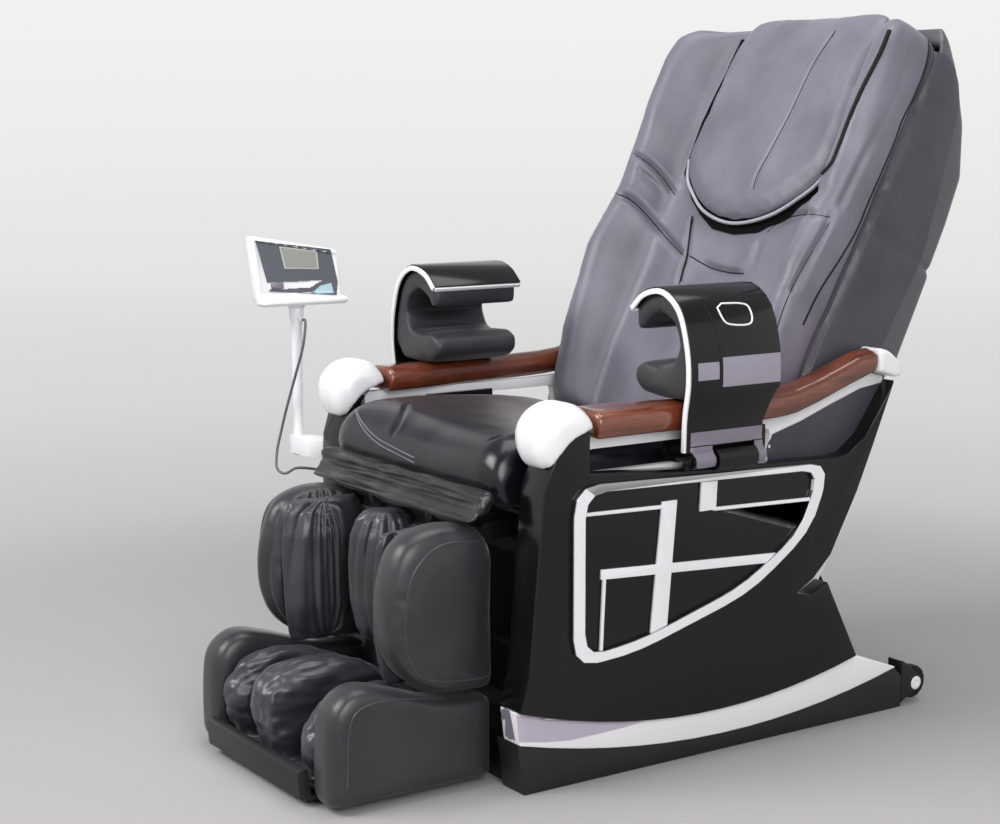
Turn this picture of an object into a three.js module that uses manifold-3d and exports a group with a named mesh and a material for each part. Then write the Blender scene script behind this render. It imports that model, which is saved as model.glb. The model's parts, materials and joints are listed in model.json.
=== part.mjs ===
// Massage chair, in millimetres. +Z is up, the sitter faces -Y and the sitter's left is +X.
// The origin is on the floor under the middle of the base, in the chair's plane of symmetry.
import * as THREE from 'three';
import { mergeVertices } from 'three/addons/utils/BufferGeometryUtils.js';
import ManifoldModule from 'manifold-3d';

const wasm = await ManifoldModule();
wasm.setup();

// ---------- driving dimensions ----------
const GAP = 0.3; // what touching pieces keep between them
const RUN = 0.8; // running clearance round a shaft

const baseFront = -407; // where the skirt meets the floor
const baseRear = 409;
const panelOuter = 350; // outer face of the side panels, which the other widths follow
const baseHalf = panelOuter - 48;
const skirtWall = 38;
const floorClear = 10; // legrest above the floor
const bandHalf = baseHalf + 9;
const bandLow = 31; // lowest point of the white band's lower edge
const bandRise = 0.00031; // how fast that edge climbs away from its middle
const bandMiddle = -5;
const bandTopLow = 76;
const bandTopRise = 0.00042;
const bandTopMiddle = -40;
const bandFront = -428;
const bandTail = 280; // where the band's upper edge turns down to its tip
const frontDepth = 24; // side panel's front return, front to back

const panelWall = 32;
const shellWall = 17;
const leanStart = 600; // below this height the side bodies lean in
const leanSlope = 0.058;
const windowTop = 490;
const trimBar = 22;
const trimThick = 7;

const woodTop = 598;
const woodThick = 42;
const woodInner = panelOuter - 88;
const woodOuter = panelOuter + 2;
const slotLow = 498; // the gap under the armrest
const slotHigh = 536;

const panWall = 4;
const plateOffset = baseHalf - 58; // side plates of the chassis
const plateWall = 6;
const seatTop = 436; // top of the steel seat pan
const seatFront = -434; // foremost point of the cushion
const seatHalf = plateOffset + 8;
const apronTuck = 3.8; // how far the apron reaches in under that point

const reclineY = 170;
const reclineZ = 400;
const backLean = 28; // degrees from upright
const shaftRadius = 14;
const backHalf = panelOuter - 56;
const backTop = 858; // along the back, from the recline shaft
const padFront = -217; // crest of the back pad's bolsters, normal to the back
const padRear = -97;
const padCrown = 0.19; // how far the pad's middle comes forward, of the bolsters' depth
const shellRear = 69;
const shellThick = 6;
const notchAt = 462;
const railHalf = 172;
const leverLength = 80;
const frameTop = 640; // end of the back frame and its screw
const carriageAt = 350;

const liftY = -430; // legrest hinge
const liftZ = 415;
const hingeRadius = 12;
const legHalf = panelOuter - 119;
const legInner = legHalf - 73;
const legRear = -408;
const bagInner = legInner - 46;
const calfSheetFront = -440; // front of the pad behind the calves

const cuffReach = 91; // half the length of a cuff along the arm
const cuffWall = 7;
const cuffLeftY = -60;
const cuffRightY = -141;
const pivotX = panelOuter + 26; // cuff hinge
const pivotZ = 510;
const pinRadius = 5;

const poleX = -panelOuter - 70;
const poleY = -408;
const poleTop = 700;
const poleRadius = 10;

const wheelY = 446;
const wheelZ = 38;
const wheelRadius = 30;

// ---------- finishes ----------
const finish = (color, roughness, metalness = 0) =>
  new THREE.MeshStandardMaterial({ color, roughness, metalness });
const blackGloss = finish('#1b1a1c', 0.15);
const blackSatin = finish('#26262a', 0.45);
const whiteGloss = finish('#f1f0f2', 0.25);
const mahogany = finish('#7a3822', 0.2);
const brushedMetal = finish('#c9c9cb', 0.35, 1);
const backLeather = finish('#5f5b66', 0.5);
const seatLeather = finish('#1d1b20', 0.3);
const legLeather = finish('#37363c', 0.45);
const cuffLeather = finish('#333338', 0.6);
const steel = finish('#5a5d62', 0.5, 0.8);
const greyPlastic = finish('#77757d', 0.5);
const rubber = finish('#1a1a1a', 0.8);

// ---------- geometry helpers ----------
const chair = new THREE.Group();

function outward(geometry) {
  geometry.deleteAttribute('normal');
  geometry.deleteAttribute('uv');
  const merged = mergeVertices(geometry, 1e-4);
  const spot = merged.attributes.position;
  const index = merged.index.array;
  const kept = [];
  const [a, b, c] = [new THREE.Vector3(), new THREE.Vector3(), new THREE.Vector3()];
  let volume = 0;
  for (let i = 0; i < index.length; i += 3) {
    const [p, q, r] = [index[i], index[i + 1], index[i + 2]];
    if (p === q || q === r || r === p) continue;
    a.fromBufferAttribute(spot, p);
    b.fromBufferAttribute(spot, q);
    c.fromBufferAttribute(spot, r);
    volume += a.dot(b.cross(c));
    kept.push(p, q, r);
  }
  if (volume < 0) {
    for (let i = 0; i < kept.length; i += 3) [kept[i], kept[i + 1]] = [kept[i + 1], kept[i]];
  }
  const solid = new THREE.BufferGeometry();
  solid.setAttribute('position', spot);
  solid.setIndex(kept);
  return solid;
}

function toManifold(geometry) {
  const vertProperties = new Float32Array(geometry.attributes.position.array);
  const triVerts = new Uint32Array(geometry.index.array);
  return new wasm.Manifold(new wasm.Mesh({ numProp: 3, vertProperties, triVerts }));
}

function fromManifold(manifold) {
  const mesh = manifold.getMesh();
  const geometry = new THREE.BufferGeometry();
  geometry.setAttribute('position', new THREE.BufferAttribute(mesh.vertProperties.slice(), 3));
  geometry.setIndex(Array.from(mesh.triVerts));
  return geometry;
}

function join(first, ...others) {
  return fromManifold(others.reduce((whole, piece) => whole.add(toManifold(piece)), toManifold(first)));
}

function cut(first, ...others) {
  return fromManifold(others.reduce((whole, piece) => whole.subtract(toManifold(piece)), toManifold(first)));
}

// Turns corners given as [u, v, radius] into an outline with round corners.
function rounded(corners, steps = 4) {
  const points = [];
  corners.forEach(([u, v, radius = 0], i) => {
    const before = corners[(i + corners.length - 1) % corners.length];
    const after = corners[(i + 1) % corners.length];
    const toBefore = Math.hypot(before[0] - u, before[1] - v);
    const toAfter = Math.hypot(after[0] - u, after[1] - v);
    const reach = Math.min(radius, toBefore * 0.49, toAfter * 0.49);
    if (reach <= 0) {
      points.push([u, v]);
      return;
    }
    const start = [u + ((before[0] - u) * reach) / toBefore, v + ((before[1] - v) * reach) / toBefore];
    const end = [u + ((after[0] - u) * reach) / toAfter, v + ((after[1] - v) * reach) / toAfter];
    for (let k = 0; k <= steps; k += 1) {
      const t = k / steps;
      const w = 1 - t;
      points.push([
        w * w * start[0] + 2 * t * w * u + t * t * end[0],
        w * w * start[1] + 2 * t * w * v + t * t * end[1],
      ]);
    }
  });
  return points;
}

// A smooth open or closed line through a few points.
function smooth(points, steps, closed = false) {
  const curve = new THREE.CatmullRomCurve3(
    points.map(([u, v]) => new THREE.Vector3(u, v, 0)), closed, 'centripetal');
  const count = closed ? steps : steps + 1;
  return Array.from({ length: count }, (_, i) => {
    const p = curve.getPoint(i / steps);
    return [p.x, p.y];
  });
}

// The circle starts a little off the axes, so that no point lines up with a corner of its outline.
function circle(u, v, radius, steps = 20) {
  return Array.from({ length: steps }, (_, i) => {
    const turn = (2 * Math.PI * (i + 0.37)) / steps;
    return [u + radius * Math.cos(turn), v + radius * Math.sin(turn)];
  });
}

// How an outline point (u, v) at depth w lies in the chair, for each direction of extrusion.
const layouts = {
  x: (u, v, w) => new THREE.Vector3(w, u, v),
  y: (u, v, w) => new THREE.Vector3(u, w, v),
  z: (u, v, w) => new THREE.Vector3(u, v, w),
};

function prism(axis, outline, from, to, holes = []) {
  const corners = outline.map(([u, v]) => new THREE.Vector2(u, v));
  if (THREE.ShapeUtils.isClockWise(corners)) corners.reverse();
  const shape = new THREE.Shape(corners);
  shape.holes = holes.map((hole) => new THREE.Path(hole.map(([u, v]) => new THREE.Vector2(u, v))));
  const geometry = new THREE.ExtrudeGeometry(shape, { depth: to - from, bevelEnabled: false });
  const spot = geometry.attributes.position;
  for (let i = 0; i < spot.count; i += 1) {
    const p = layouts[axis](spot.getX(i), spot.getY(i), spot.getZ(i) + from);
    spot.setXYZ(i, p.x, p.y, p.z);
  }
  return outward(geometry);
}

function block(x0, x1, y0, y1, z0, z1) {
  const geometry = new THREE.BoxGeometry(x1 - x0, y1 - y0, z1 - z0);
  geometry.translate((x0 + x1) / 2, (y0 + y1) / 2, (z0 + z1) / 2);
  return outward(geometry);
}

// A revolved piece: profile of [radius, along] turned about an axis through a centre.
function turned(axis, profile, centre, steps = 24) {
  const geometry = new THREE.LatheGeometry(profile.map(([r, h]) => new THREE.Vector2(r, h)), steps);
  if (axis === 'x') geometry.rotateZ(-Math.PI / 2);
  if (axis === 'z') geometry.rotateX(Math.PI / 2);
  geometry.translate(...centre);
  return outward(geometry);
}

function rod(axis, radius, from, to, centre, steps = 20) {
  return turned(axis, [[0, from], [radius, from], [radius, to], [0, to]], centre, steps);
}

// A closed body through rings of points, flat at both ends.
function loft(rings) {
  const count = rings[0].length;
  const positions = rings.flat().flatMap((p) => [p.x, p.y, p.z]);
  const index = [];
  for (let r = 0; r + 1 < rings.length; r += 1) {
    for (let i = 0; i < count; i += 1) {
      const j = (i + 1) % count;
      const [a, b, c, d] = [r * count + i, r * count + j, (r + 1) * count + j, (r + 1) * count + i];
      index.push(a, b, c, a, c, d);
    }
  }
  [0, rings.length - 1].forEach((r) => {
    const ring = rings[r];
    const normal = new THREE.Vector3();
    ring.forEach((p, i) => {
      const q = ring[(i + 1) % count];
      normal.x += (p.y - q.y) * (p.z + q.z);
      normal.y += (p.z - q.z) * (p.x + q.x);
      normal.z += (p.x - q.x) * (p.y + q.y);
    });
    normal.normalize();
    const side = new THREE.Vector3(1, 0, 0);
    if (Math.abs(normal.x) > 0.9) side.set(0, 1, 0);
    const across = side.cross(normal).normalize();
    const up = normal.clone().cross(across);
    const flat = ring.map((p) => new THREE.Vector2(p.dot(across), p.dot(up)));
    THREE.ShapeUtils.triangulateShape(flat, []).forEach(([a, b, c]) => {
      const first = r === 0;
      index.push(r * count + a, r * count + (first ? c : b), r * count + (first ? b : c));
    });
  });
  const geometry = new THREE.BufferGeometry();
  geometry.setAttribute('position', new THREE.Float32BufferAttribute(positions, 3));
  geometry.setIndex(index);
  return outward(geometry);
}

// A pad: one outline, drawn in towards its middle near both ends so that its edges are round.
function pad(axis, outline, from, to, edge, steps = 3) {
  const us = outline.map(([u]) => u);
  const vs = outline.map(([, v]) => v);
  const middle = [(Math.min(...us) + Math.max(...us)) / 2, (Math.min(...vs) + Math.max(...vs)) / 2];
  const half = [(Math.max(...us) - Math.min(...us)) / 2, (Math.max(...vs) - Math.min(...vs)) / 2];
  const stations = [];
  for (let k = 0; k <= steps; k += 1) {
    const turn = (Math.PI / 2) * (k / steps);
    stations.push([from + edge * (1 - Math.sin(turn)), edge * (1 - Math.cos(turn))]);
  }
  stations.reverse();
  const ends = stations.map(([w, inset]) => [to + from - w, inset]).reverse();
  return loft([...stations, ...ends].map(([w, inset]) => outline.map(([u, v]) => layouts[axis](
    middle[0] + ((u - middle[0]) * (half[0] - inset)) / half[0],
    middle[1] + ((v - middle[1]) * (half[1] - inset)) / half[1], w))));
}

function bend(geometry, move) {
  const spot = geometry.attributes.position;
  for (let i = 0; i < spot.count; i += 1) {
    const p = new THREE.Vector3().fromBufferAttribute(spot, i);
    move(p);
    spot.setXYZ(i, p.x, p.y, p.z);
  }
  return geometry;
}

function mirrored(geometry) {
  const other = geometry.clone();
  other.scale(-1, 1, 1);
  return outward(other);
}

function place(name, geometry, material, parent = chair) {
  const mesh = new THREE.Mesh(geometry, material);
  mesh.name = name;
  parent.add(mesh);
  return mesh;
}

// The same piece on the sitter's left and, mirrored, on the right.
function placePair(name, geometry, material, parent = chair) {
  place(`${name}_L`, geometry, material, parent);
  place(`${name}_R`, mirrored(geometry), material, parent);
}

// ---------- base ----------
const sweep = (low, rise, middle) => (y) => low + rise * (y - middle) ** 2;
const bandUnder = sweep(bandLow, bandRise, bandMiddle);
const bandOver = sweep(bandTopLow, bandTopRise, bandTopMiddle);
const along = (line, from, to, steps, lift = 0) =>
  Array.from({ length: steps + 1 }, (_, i) => {
    const y = from + ((to - from) * i) / steps;
    return [y, line(y) + lift];
  });

const skirtInner = baseHalf - skirtWall;
const bandTip = baseRear - 22;

function baseSkirt() {
  const front = baseFront - 12;
  const outline = [[baseFront, 0], ...along(bandUnder, front, bandTip, 14, -GAP),
    [baseRear, bandUnder(bandTip) - 22], [baseRear, 0]];
  const whole = prism('x', outline, -baseHalf, baseHalf);
  const inside = block(-skirtInner, skirtInner, baseFront + 24, baseRear + 20, -10, 300);
  const legRoom = block(-skirtInner + 22, skirtInner - 22, front - 40, baseFront + 12, -10, 300);
  return cut(whole, inside, legRoom);
}

function sweepBand() {
  const outline = [...along(bandOver, bandFront, bandTail, 14), ...along(bandUnder, bandTip, bandFront + 7, 14)];
  return prism('x', outline, skirtInner, bandHalf);
}

function chassis() {
  const half = skirtInner - GAP;
  const pan = block(-half, half, baseFront + 25, baseRear - 14, 0, panWall);
  const eye = circle(reclineY, reclineZ, shaftRadius + 12, 12);
  const plateOutline = [[-345, 2], [-345, 380], [-372, seatTop - 12], [-372, seatTop], [20, seatTop],
    [60, 400], [120, 386], [reclineY - 18, reclineZ + 19], [reclineY + 4, reclineZ + 26],
    [reclineY + 26, reclineZ], [reclineY + 12, reclineZ - 30], [150, 300], [150, 2]];
  const shaftHole = circle(reclineY, reclineZ, shaftRadius + RUN, 14);
  const plate = prism('x', plateOutline, plateOffset, plateOffset + plateWall, [shaftHole]);
  const boss = prism('x', eye, plateOffset - 10, plateOffset + 2, [shaftHole]);
  const seatPan = block(-plateOffset - 3, plateOffset + 3, -372, 20, seatTop - 6, seatTop);
  const beam = block(-plateOffset - 3, plateOffset + 3, legPin.y - 14, legPin.y + 14, legPin.z - 72, legPin.z - 48);
  const hingeEye = circle(liftY, liftZ, hingeRadius + 8, 12);
  const hingeHole = circle(liftY, liftZ, hingeRadius + RUN, 14);
  const armOutline = [[-300, seatTop - 3], [-392, seatTop - 3], [liftY, liftZ + 19.5], [liftY - 17, liftZ + 8],
    [liftY - 17, liftZ - 8], [liftY + 4, liftZ - 20], [-385, 402], [-300, 418]];
  const hingeArm = join(prism('x', armOutline, 90, 98, [hingeHole]), prism('x', hingeEye, 84, 92, [hingeHole]));
  const legEar = prism('x', [[-13, -54], [13, -54], [12, 12], [-12, 12]].map(([y, z]) => [legPin.y + y, legPin.z + z]),
    23, 29, [circle(legPin.y, legPin.z, 6.6, 12)]);
  const backEar = prism('x', [[backPin.y - 24, 2], [backPin.y + 18, 2], [backPin.y + 13, backPin.z + 4],
    [backPin.y + 8, backPin.z + 12], [backPin.y - 8, backPin.z + 12], [backPin.y - 13, backPin.z + 4]], 25, 31,
  [circle(backPin.y, backPin.z, 6.6, 12)]);
  const pairs = [plate, boss, hingeArm, legEar, backEar];
  return join(pan, seatPan, beam, ...pairs, ...pairs.map(mirrored));
}

// Recline linkage: the lever's end moves along a chord as the back goes down.
const toRadians = (degrees) => (degrees * Math.PI) / 180;
const reclineTravel = 42; // degrees
const liftTravel = 75; // degrees
const leverEnd = (turn) => ({
  y: reclineY - leverLength * Math.sin(toRadians(backLean + turn)),
  z: reclineZ - leverLength * Math.cos(toRadians(backLean + turn)),
});
const legLever = 45;
const legLeverAngle = 40; // degrees, behind straight down
const legLeverEnd = (turn) => ({
  y: liftY + legLever * Math.sin(toRadians(legLeverAngle - turn)),
  z: liftZ - legLever * Math.cos(toRadians(legLeverAngle - turn)),
});
function chordOf(endAt, travel) {
  const start = endAt(0);
  const middle = endAt(travel / 2);
  const end = endAt(travel);
  const stroke = Math.hypot(end.y - start.y, end.z - start.z);
  const way = { y: (end.y - start.y) / stroke, z: (end.z - start.z) / stroke };
  const side = { y: -way.z, z: way.y };
  const bow = (middle.y - start.y) * side.y + (middle.z - start.z) * side.z;
  return { start, stroke, way, side, bow };
}
const backChord = chordOf(leverEnd, reclineTravel);
const legChord = chordOf(legLeverEnd, liftTravel);
const backPinReach = 132;
const legPinReach = 180;
const pinAt = (chord, reach) => ({
  y: chord.start.y + (chord.side.y * chord.bow) / 2 - chord.way.y * reach,
  z: chord.start.z + (chord.side.z * chord.bow) / 2 - chord.way.z * reach,
});
const backPin = pinAt(backChord, backPinReach);
const legPin = pinAt(legChord, legPinReach);

// A linear actuator along its chord: body with a bore, and a rod with a slotted eye.
function actuator(chord, pin, reach, bodyLength, bodyRadius) {
  const rodRadius = 8;
  const bore = rodRadius + 0.5;
  const tail = 14;
  const body = cut(
    join(
      turned('y', [[0, -tail + 6], [bodyRadius, -tail + 6], [bodyRadius, bodyLength], [bore, bodyLength],
        [bore, 12], [0, 12]], [0, 0, 0], 16),
      block(-17, 17, -7.9, 56, bodyRadius - 6, bodyRadius + 26),
    ),
    block(-60, 60, -60, -7.9, -60, 60),
  );
  const trunnion = rod('x', 6, -33, 33, [0, 0, 0], 12);
  const slot = Math.abs(chord.bow) / 2 + 1;
  const eyeHole = rounded([[-slot - 6.8, -6.8, 6], [slot + 6.8, -6.8, 6], [slot + 6.8, 6.8, 6],
    [-slot - 6.8, 6.8, 6]], 2);
  const eyeHalf = slot + 11.5;
  const eye = prism('x', rounded([[-12, -eyeHalf, 9], [12, -eyeHalf, 9], [12, eyeHalf, 9], [-12, eyeHalf, 9]], 2)
    .map(([u, v]) => [u + reach, v]), -5, 5, [eyeHole.map(([u, v]) => [v + reach, u])]);
  const plunger = join(turned('y', [[0, 16], [rodRadius, 16], [rodRadius, reach - 10], [0, reach - 10]],
    [0, 0, 0], 16), eye);
  const frame = new THREE.Group();
  frame.position.set(0, pin.y, pin.z);
  frame.rotation.x = Math.atan2(chord.way.z, chord.way.y);
  chair.add(frame);
  return { body: join(body, trunnion), plunger, frame };
}

const inletX = plateOffset - 64;
const coverProfile = [[338, panWall + GAP], [283, 131], [238, 250], [212, 292]];

function rearCover() {
  const wall = 4;
  const inner = coverProfile.map(([y, z]) => [y - wall, z]).reverse();
  const outline = [...coverProfile, ...inner];
  const half = panelOuter - 74;
  const wide = prism('x', outline, -half, half);
  const lowCut = block(skirtInner - GAP - panWall - 1, 400, 200, 400, -10, 137);
  const louvre = (z) => block(-90, 90, 180, 300, z, z + 6);
  return cut(wide, lowCut, mirrored(lowCut), ...[170, 186, 202, 218].map(louvre),
    prism('x', [[250, 54], [360, 54], [360, 106], [250, 106]], inletX - 29, inletX + 29));
}

function buildBase() {
  place('chassis', chassis(), steel);
  place('base_skirt', baseSkirt(), blackSatin);
  placePair('sweep_band', sweepBand(), whiteGloss);
  place('rear_cover', rearCover(), blackSatin);

  const back = actuator(backChord, backPin, backPinReach, 72, 17);
  place('back_actuator', back.body, steel, back.frame);
  place('back_actuator_rod', back.plunger, brushedMetal, back.frame);
  const leg = actuator(legChord, legPin, legPinReach, 100, 18);
  place('leg_actuator', leg.body, steel, leg.frame);
  place('leg_actuator_rod', leg.plunger, brushedMetal, leg.frame);

  const pumpX = 104 - plateOffset;
  const pump = join(
    pad('z', rounded([[pumpX - 65, -140, 14], [pumpX + 65, -140, 14], [pumpX + 65, -10, 14], [pumpX - 65, -10, 14]], 2),
      panWall + GAP, 108, 8, 1),
    rod('y', 6, -12, 18, [pumpX - 30, 0, 70], 12), rod('y', 6, -12, 18, [pumpX + 30, 0, 70], 12));
  place('air_pump', pump, blackSatin);
  const box = cut(block(70, plateOffset - 29, -170, 10, panWall + GAP, 66), ...[0, 1, 2, 3, 4, 5].map((k) =>
    block(60, 78, -150 + k * 24, -140 + k * 24, 30, 52)));
  place('control_box', box, greyPlastic);
}

// ---------- power inlet and rocker, on the rear cover's sloped face ----------
function buildInlet() {
  const [low, high] = coverProfile;
  const slope = Math.atan2(high[1] - low[1], low[0] - high[0]);
  const middle = 80;
  const part = (middle - low[1]) / (high[1] - low[1]);
  const frame = new THREE.Group();
  frame.position.set(inletX, low[0] + (high[0] - low[0]) * part, middle);
  frame.rotation.x = Math.PI / 2 - slope;
  chair.add(frame);
  const outer = rounded([[-32, -26, 4], [32, -26, 4], [32, 26, 4], [-32, 26, 4]], 1);
  const socket = rounded([[-25, -11, 3], [-4, -11, 3], [-4, 11, 6], [-25, 11, 6]], 1);
  const window = [[6, -12], [24, -12], [24, 12], [6, 12]];
  const plate = prism('y', outer, GAP, 3, [socket, window]);
  const well = prism('y', [[-27, -14], [27, -14], [27, 14], [-27, 14]], -22, 1, [socket, window]);
  const floor = block(-27, 4.5, -22, -19, -14, 14);
  const blades = [[-19, -5], [-19, 5], [-10, 0]].map(([x, z]) => block(x - 2, x + 2, -20, -6, z - 1, z + 1));
  place('power_inlet', join(plate, well, floor, ...blades), blackSatin, frame);
  const rocker = prism('x', [[-10, -8], [-10, 8], [-2, 11], [3.5, 11], [1.2, 0], [3.5, -11], [-2, -11]], 6.5, 23.5);
  place('power_rocker', rocker, blackSatin, frame);
}

// ---------- transport wheels ----------
function buildWheels() {
  const inner = baseHalf - 34;
  const rear = baseRear + GAP;
  const ear = [[rear, 8], [wheelY - 6, wheelZ - 15], [wheelY + 6, wheelZ - 14], [wheelY + 15, wheelZ - 5],
    [wheelY + 15, wheelZ + 5], [wheelY + 6, wheelZ + 14], [rear + 4, wheelZ + 45], [rear, wheelZ + 45]];
  const hole = circle(wheelY, wheelZ, 5 + RUN, 12);
  const cheek = (x) => prism('x', ear, x, x + 5, [hole]);
  const plate = block(inner + 2, baseHalf - 2, rear, rear + 3, 8, wheelZ + 45);
  placePair('wheel_bracket', join(cheek(inner), cheek(baseHalf - 5), plate), blackSatin);
  const tread = 10;
  const half = [[wheelRadius, tread - 2], [wheelRadius - 2, tread], [12, tread], [5, tread + 1], [5, tread + 6],
    [0, tread + 6]];
  const profile = [...half.map(([r, h]) => [r, -h]).reverse(), ...half];
  placePair('wheel', turned('x', profile, [inner + 17, wheelY, wheelZ], 14), rubber);
}

// ---------- side bodies and armrests ----------
// How far in from its top edge a side body's face lies at a height.
const leanAt = (z) => (leanStart - z) * leanSlope;
const leanIn = (p) => {
  p.x -= leanAt(p.z);
};
// The quarter-round top of the black front post, seen from the side.
const postArc = (offset = 0) => {
  const centre = [-318, 500];
  return Array.from({ length: 6 }, (_, i) => {
    const turn = toRadians(90 + 72 * (i / 5));
    return [centre[0] + (72 + offset) * Math.cos(turn), centre[1] + (71 + offset) * Math.sin(turn)];
  });
};
const rearEdge = [[322, 601], [281, 490], [251, 414], [200, 310], [164, 274], [128, 253], [160, 246], [197, 264]];

function sidePanel() {
  const bottom = along(bandOver, bandTail - 1, bandFront, 14, GAP);
  const outline = [...bottom, [-414, 195], [-400, 482], ...postArc().reverse(), [-315, slotLow + 6],
    [-104, slotLow - 8], [196, slotLow - 19], [226, slotLow - 15], [262, slotLow + 12], [296, slotLow + 62],
    ...rearEdge];
  const skin = prism('x', outline, panelOuter - panelWall, panelOuter);
  const frontLine = [[bandFront, bandOver(bandFront) + GAP], [-414, 195], [-400, 482], ...postArc().reverse().slice(0, 3)];
  const back = frontLine.map(([y, z]) => [y + frontDepth, z]).reverse();
  const front = prism('x', [...frontLine, ...back], panelOuter - 64, panelOuter - 1);
  return bend(join(skin, front), leanIn);
}

function sideShell() {
  const outer = panelOuter - panelWall - GAP;
  const front = -338;
  const under = woodTop - woodThick - GAP;
  const outline = [[130, 236], [204, 256], [252, 338], [288, 405], [326, 592], [322, 604], [281, 616 - 1],
    [194, 589], [90, under], [19, under - 2], [-330, under], [front, 548], [front, 300], [40, 300]];
  const slot = rounded([[-300, slotLow, 10], [74, slotLow, 10], [74, slotHigh, 10], [-300, slotHigh, 10]], 2);
  return bend(prism('x', outline, outer - shellWall, outer, [slot]), leanIn);
}

const woodStations = [
  [-304, 0, 0, 0], [-240, 4, 0, 1], [-119, 26, 0, 1], [-20, 35, -1, 0], [60, 36, 1, 2],
  [100, 36, 5, 6], [150, 37, 19, 19], [200, 38, 36, 36], [240, 38, 49, 50], [281, 38, 61.5, 56],
];

function armWood() {
  const rings = woodStations.map(([y, away, low, high]) => {
    const inner = woodInner + away;
    const bottom = woodTop - woodThick + low;
    const top = woodTop + high;
    return rounded([[inner + 8, bottom, 4], [woodOuter - 5, bottom, 4], [woodOuter, bottom + 16, 6],
      [woodOuter - 1, top - 6, 9], [woodOuter - 24, top + 1, 12], [inner + 18, top + 3, 12], [inner, top - 8, 9],
      [inner, bottom + 14, 6]], 2).map(([x, z]) => new THREE.Vector3(x, y, z));
  });
  return loft(rings);
}

function frontCap() {
  const outline = rounded([[-402, 522, 8], [-413, 545, 16], [-414, 580, 26], [-390, 609, 26], [-360, 618, 20],
    [-328, 611, 22], [-304 - GAP, 585, 16], [-304 - GAP, 556], [-340, 520, 6], [-386, 512, 6]], 3);
  const whole = pad('x', outline, woodInner, woodOuter + 6, 28, 2);
  const post = prism('x', [...postArc(GAP * 2), [-404, 482], [-404, 440], [-290, 440], [-290, 571.5]], 200, 420);
  return cut(whole, post, block(200, 420, -302 - GAP, -200, 400, 700));
}

function rearCap() {
  const outline = rounded([[281 + GAP, 617 + GAP], [281 + GAP, 657, 6], [302, 654, 12], [334, 628, 8],
    [335, 606, 3], [322, 605]], 2);
  return pad('x', outline, woodOuter - 52, woodOuter + 2, 7, 2);
}

function windowTrim() {
  const corners = [[-351, windowTop, 50], [176, windowTop - 16, 44], [150, 366, 80], [20, 272, 60], [-222, 204, 60],
    [-338, 200, 46]];
  const outer = rounded(corners, 3);
  const centre = [-120, 350];
  const inner = rounded(corners.map(([y, z, r]) => {
    const away = Math.hypot(y - centre[0], z - centre[1]);
    const pull = (trimBar * 1.25) / away;
    return [y + (centre[0] - y) * pull, z + (centre[1] - z) * pull, r * 0.8];
  }), 3);
  const [near, far] = [panelOuter + GAP, panelOuter + GAP + trimThick];
  const ring = prism('x', outer, near, far, [inner]);
  const bar = (y0, y1, z0, z1) => block(near, far - 2, y0, y1, z0, z1);
  const slant = (y0, z0, y1, z1, wide) => prism('x', [[y0, z0], [y1, z1], [y1, z1 + wide], [y0, z0 + wide]],
    near, far - 2);
  const upright = prism('x', [[-187, 226], [-154, 226], [-146, 446], [-176, 446]], near, far - 2);
  const lattice = [slant(-290, 335, 120, 313, 16), upright, slant(-345, 440, -150, 434, 6),
    bar(-286, -280, 205, 346), bar(-98, -65, 421, 480), slant(-70, 419, 160, 411, 6)];
  const keep = prism('x', outer, near - 1, far + 1);
  const whole = join(ring, ...lattice);
  return bend(fromManifold(toManifold(whole).intersect(toManifold(keep))), leanIn);
}

function buildSides() {
  placePair('side_panel', sidePanel(), blackGloss);
  placePair('side_shell', sideShell(), whiteGloss);
  placePair('window_trim', windowTrim(), brushedMetal);
  placePair('arm_wood', armWood(), mahogany);
  placePair('front_cap', frontCap(), whiteGloss);
  placePair('rear_cap', rearCap(), whiteGloss);
}

// ---------- seat ----------
function seatCushion() {
  const profile = [[40, seatTop + GAP], [seatFront + 42, seatTop + GAP], [seatFront + 10, 462], [seatFront, 492],
    [seatFront + 10, 528], [seatFront + 42, 553], [-330, 560], [-200, 553], [-60, 538], [5, 518], [38, 482]];
  const stations = [-1, -0.985, -0.94, -0.85, -0.6, -0.2, 0.2, 0.6, 0.85, 0.94, 0.985, 1];
  const rings = stations.map((part) => {
    const edge = Math.sqrt(1 - Math.min(1, Math.max(0, Math.abs(part) - 0.8) / 0.2) ** 2);
    const crown = 1 - 0.1 * (1 - Math.abs(part) ** 2);
    return smooth(profile, 26, true).map(([y, z]) => new THREE.Vector3(
      part * seatHalf,
      -190 + (y + 190) * (0.93 + 0.07 * edge) + (y > 0 ? 34 * (1 - part ** 4) * Math.min(1, y / 30) : 0),
      seatTop + GAP + Math.max(0, z - seatTop - GAP) * (0.62 + 0.38 * edge) * crown + 4 * (1 - edge)));
  });
  return loft(rings);
}

function seatApron() {
  const folds = [[0, 470], [-12, 474], [-23, 466], [-22, 456], [-30, 450], [-32, 441], [-42, 436],
    [-46, 428], [-36, 427.5], [-18, 438], [-4, 440]];
  return pad('x', folds.map(([y, z]) => [seatFront + apronTuck + y, z]), 2 - seatHalf, seatHalf - 2, 6, 2);
}

// ---------- backrest, in its own frame: X across, Y out of the rear, Z up the back ----------
const back = new THREE.Group();
back.position.set(0, reclineY, reclineZ);
back.rotation.x = -toRadians(backLean);
chair.add(back);

const widthAt = (s) => {
  const low = Math.max(0, 260 - s) / 260;
  const middle = Math.min(1, Math.max(0, s - 300) / 120);
  const high = Math.max(0, s - 740) / 110;
  return backHalf - 16 * low * low + 9 * middle - 8 * high * high;
};

// Half-round-cornered section of the rear shell at one height.
function shellRing(s, rear, front, half, corner) {
  return rounded([[-half, front], [half, front], [half, rear, corner], [-half, rear, corner]], 4)
    .map(([x, t]) => new THREE.Vector3(x, t, s));
}

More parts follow.
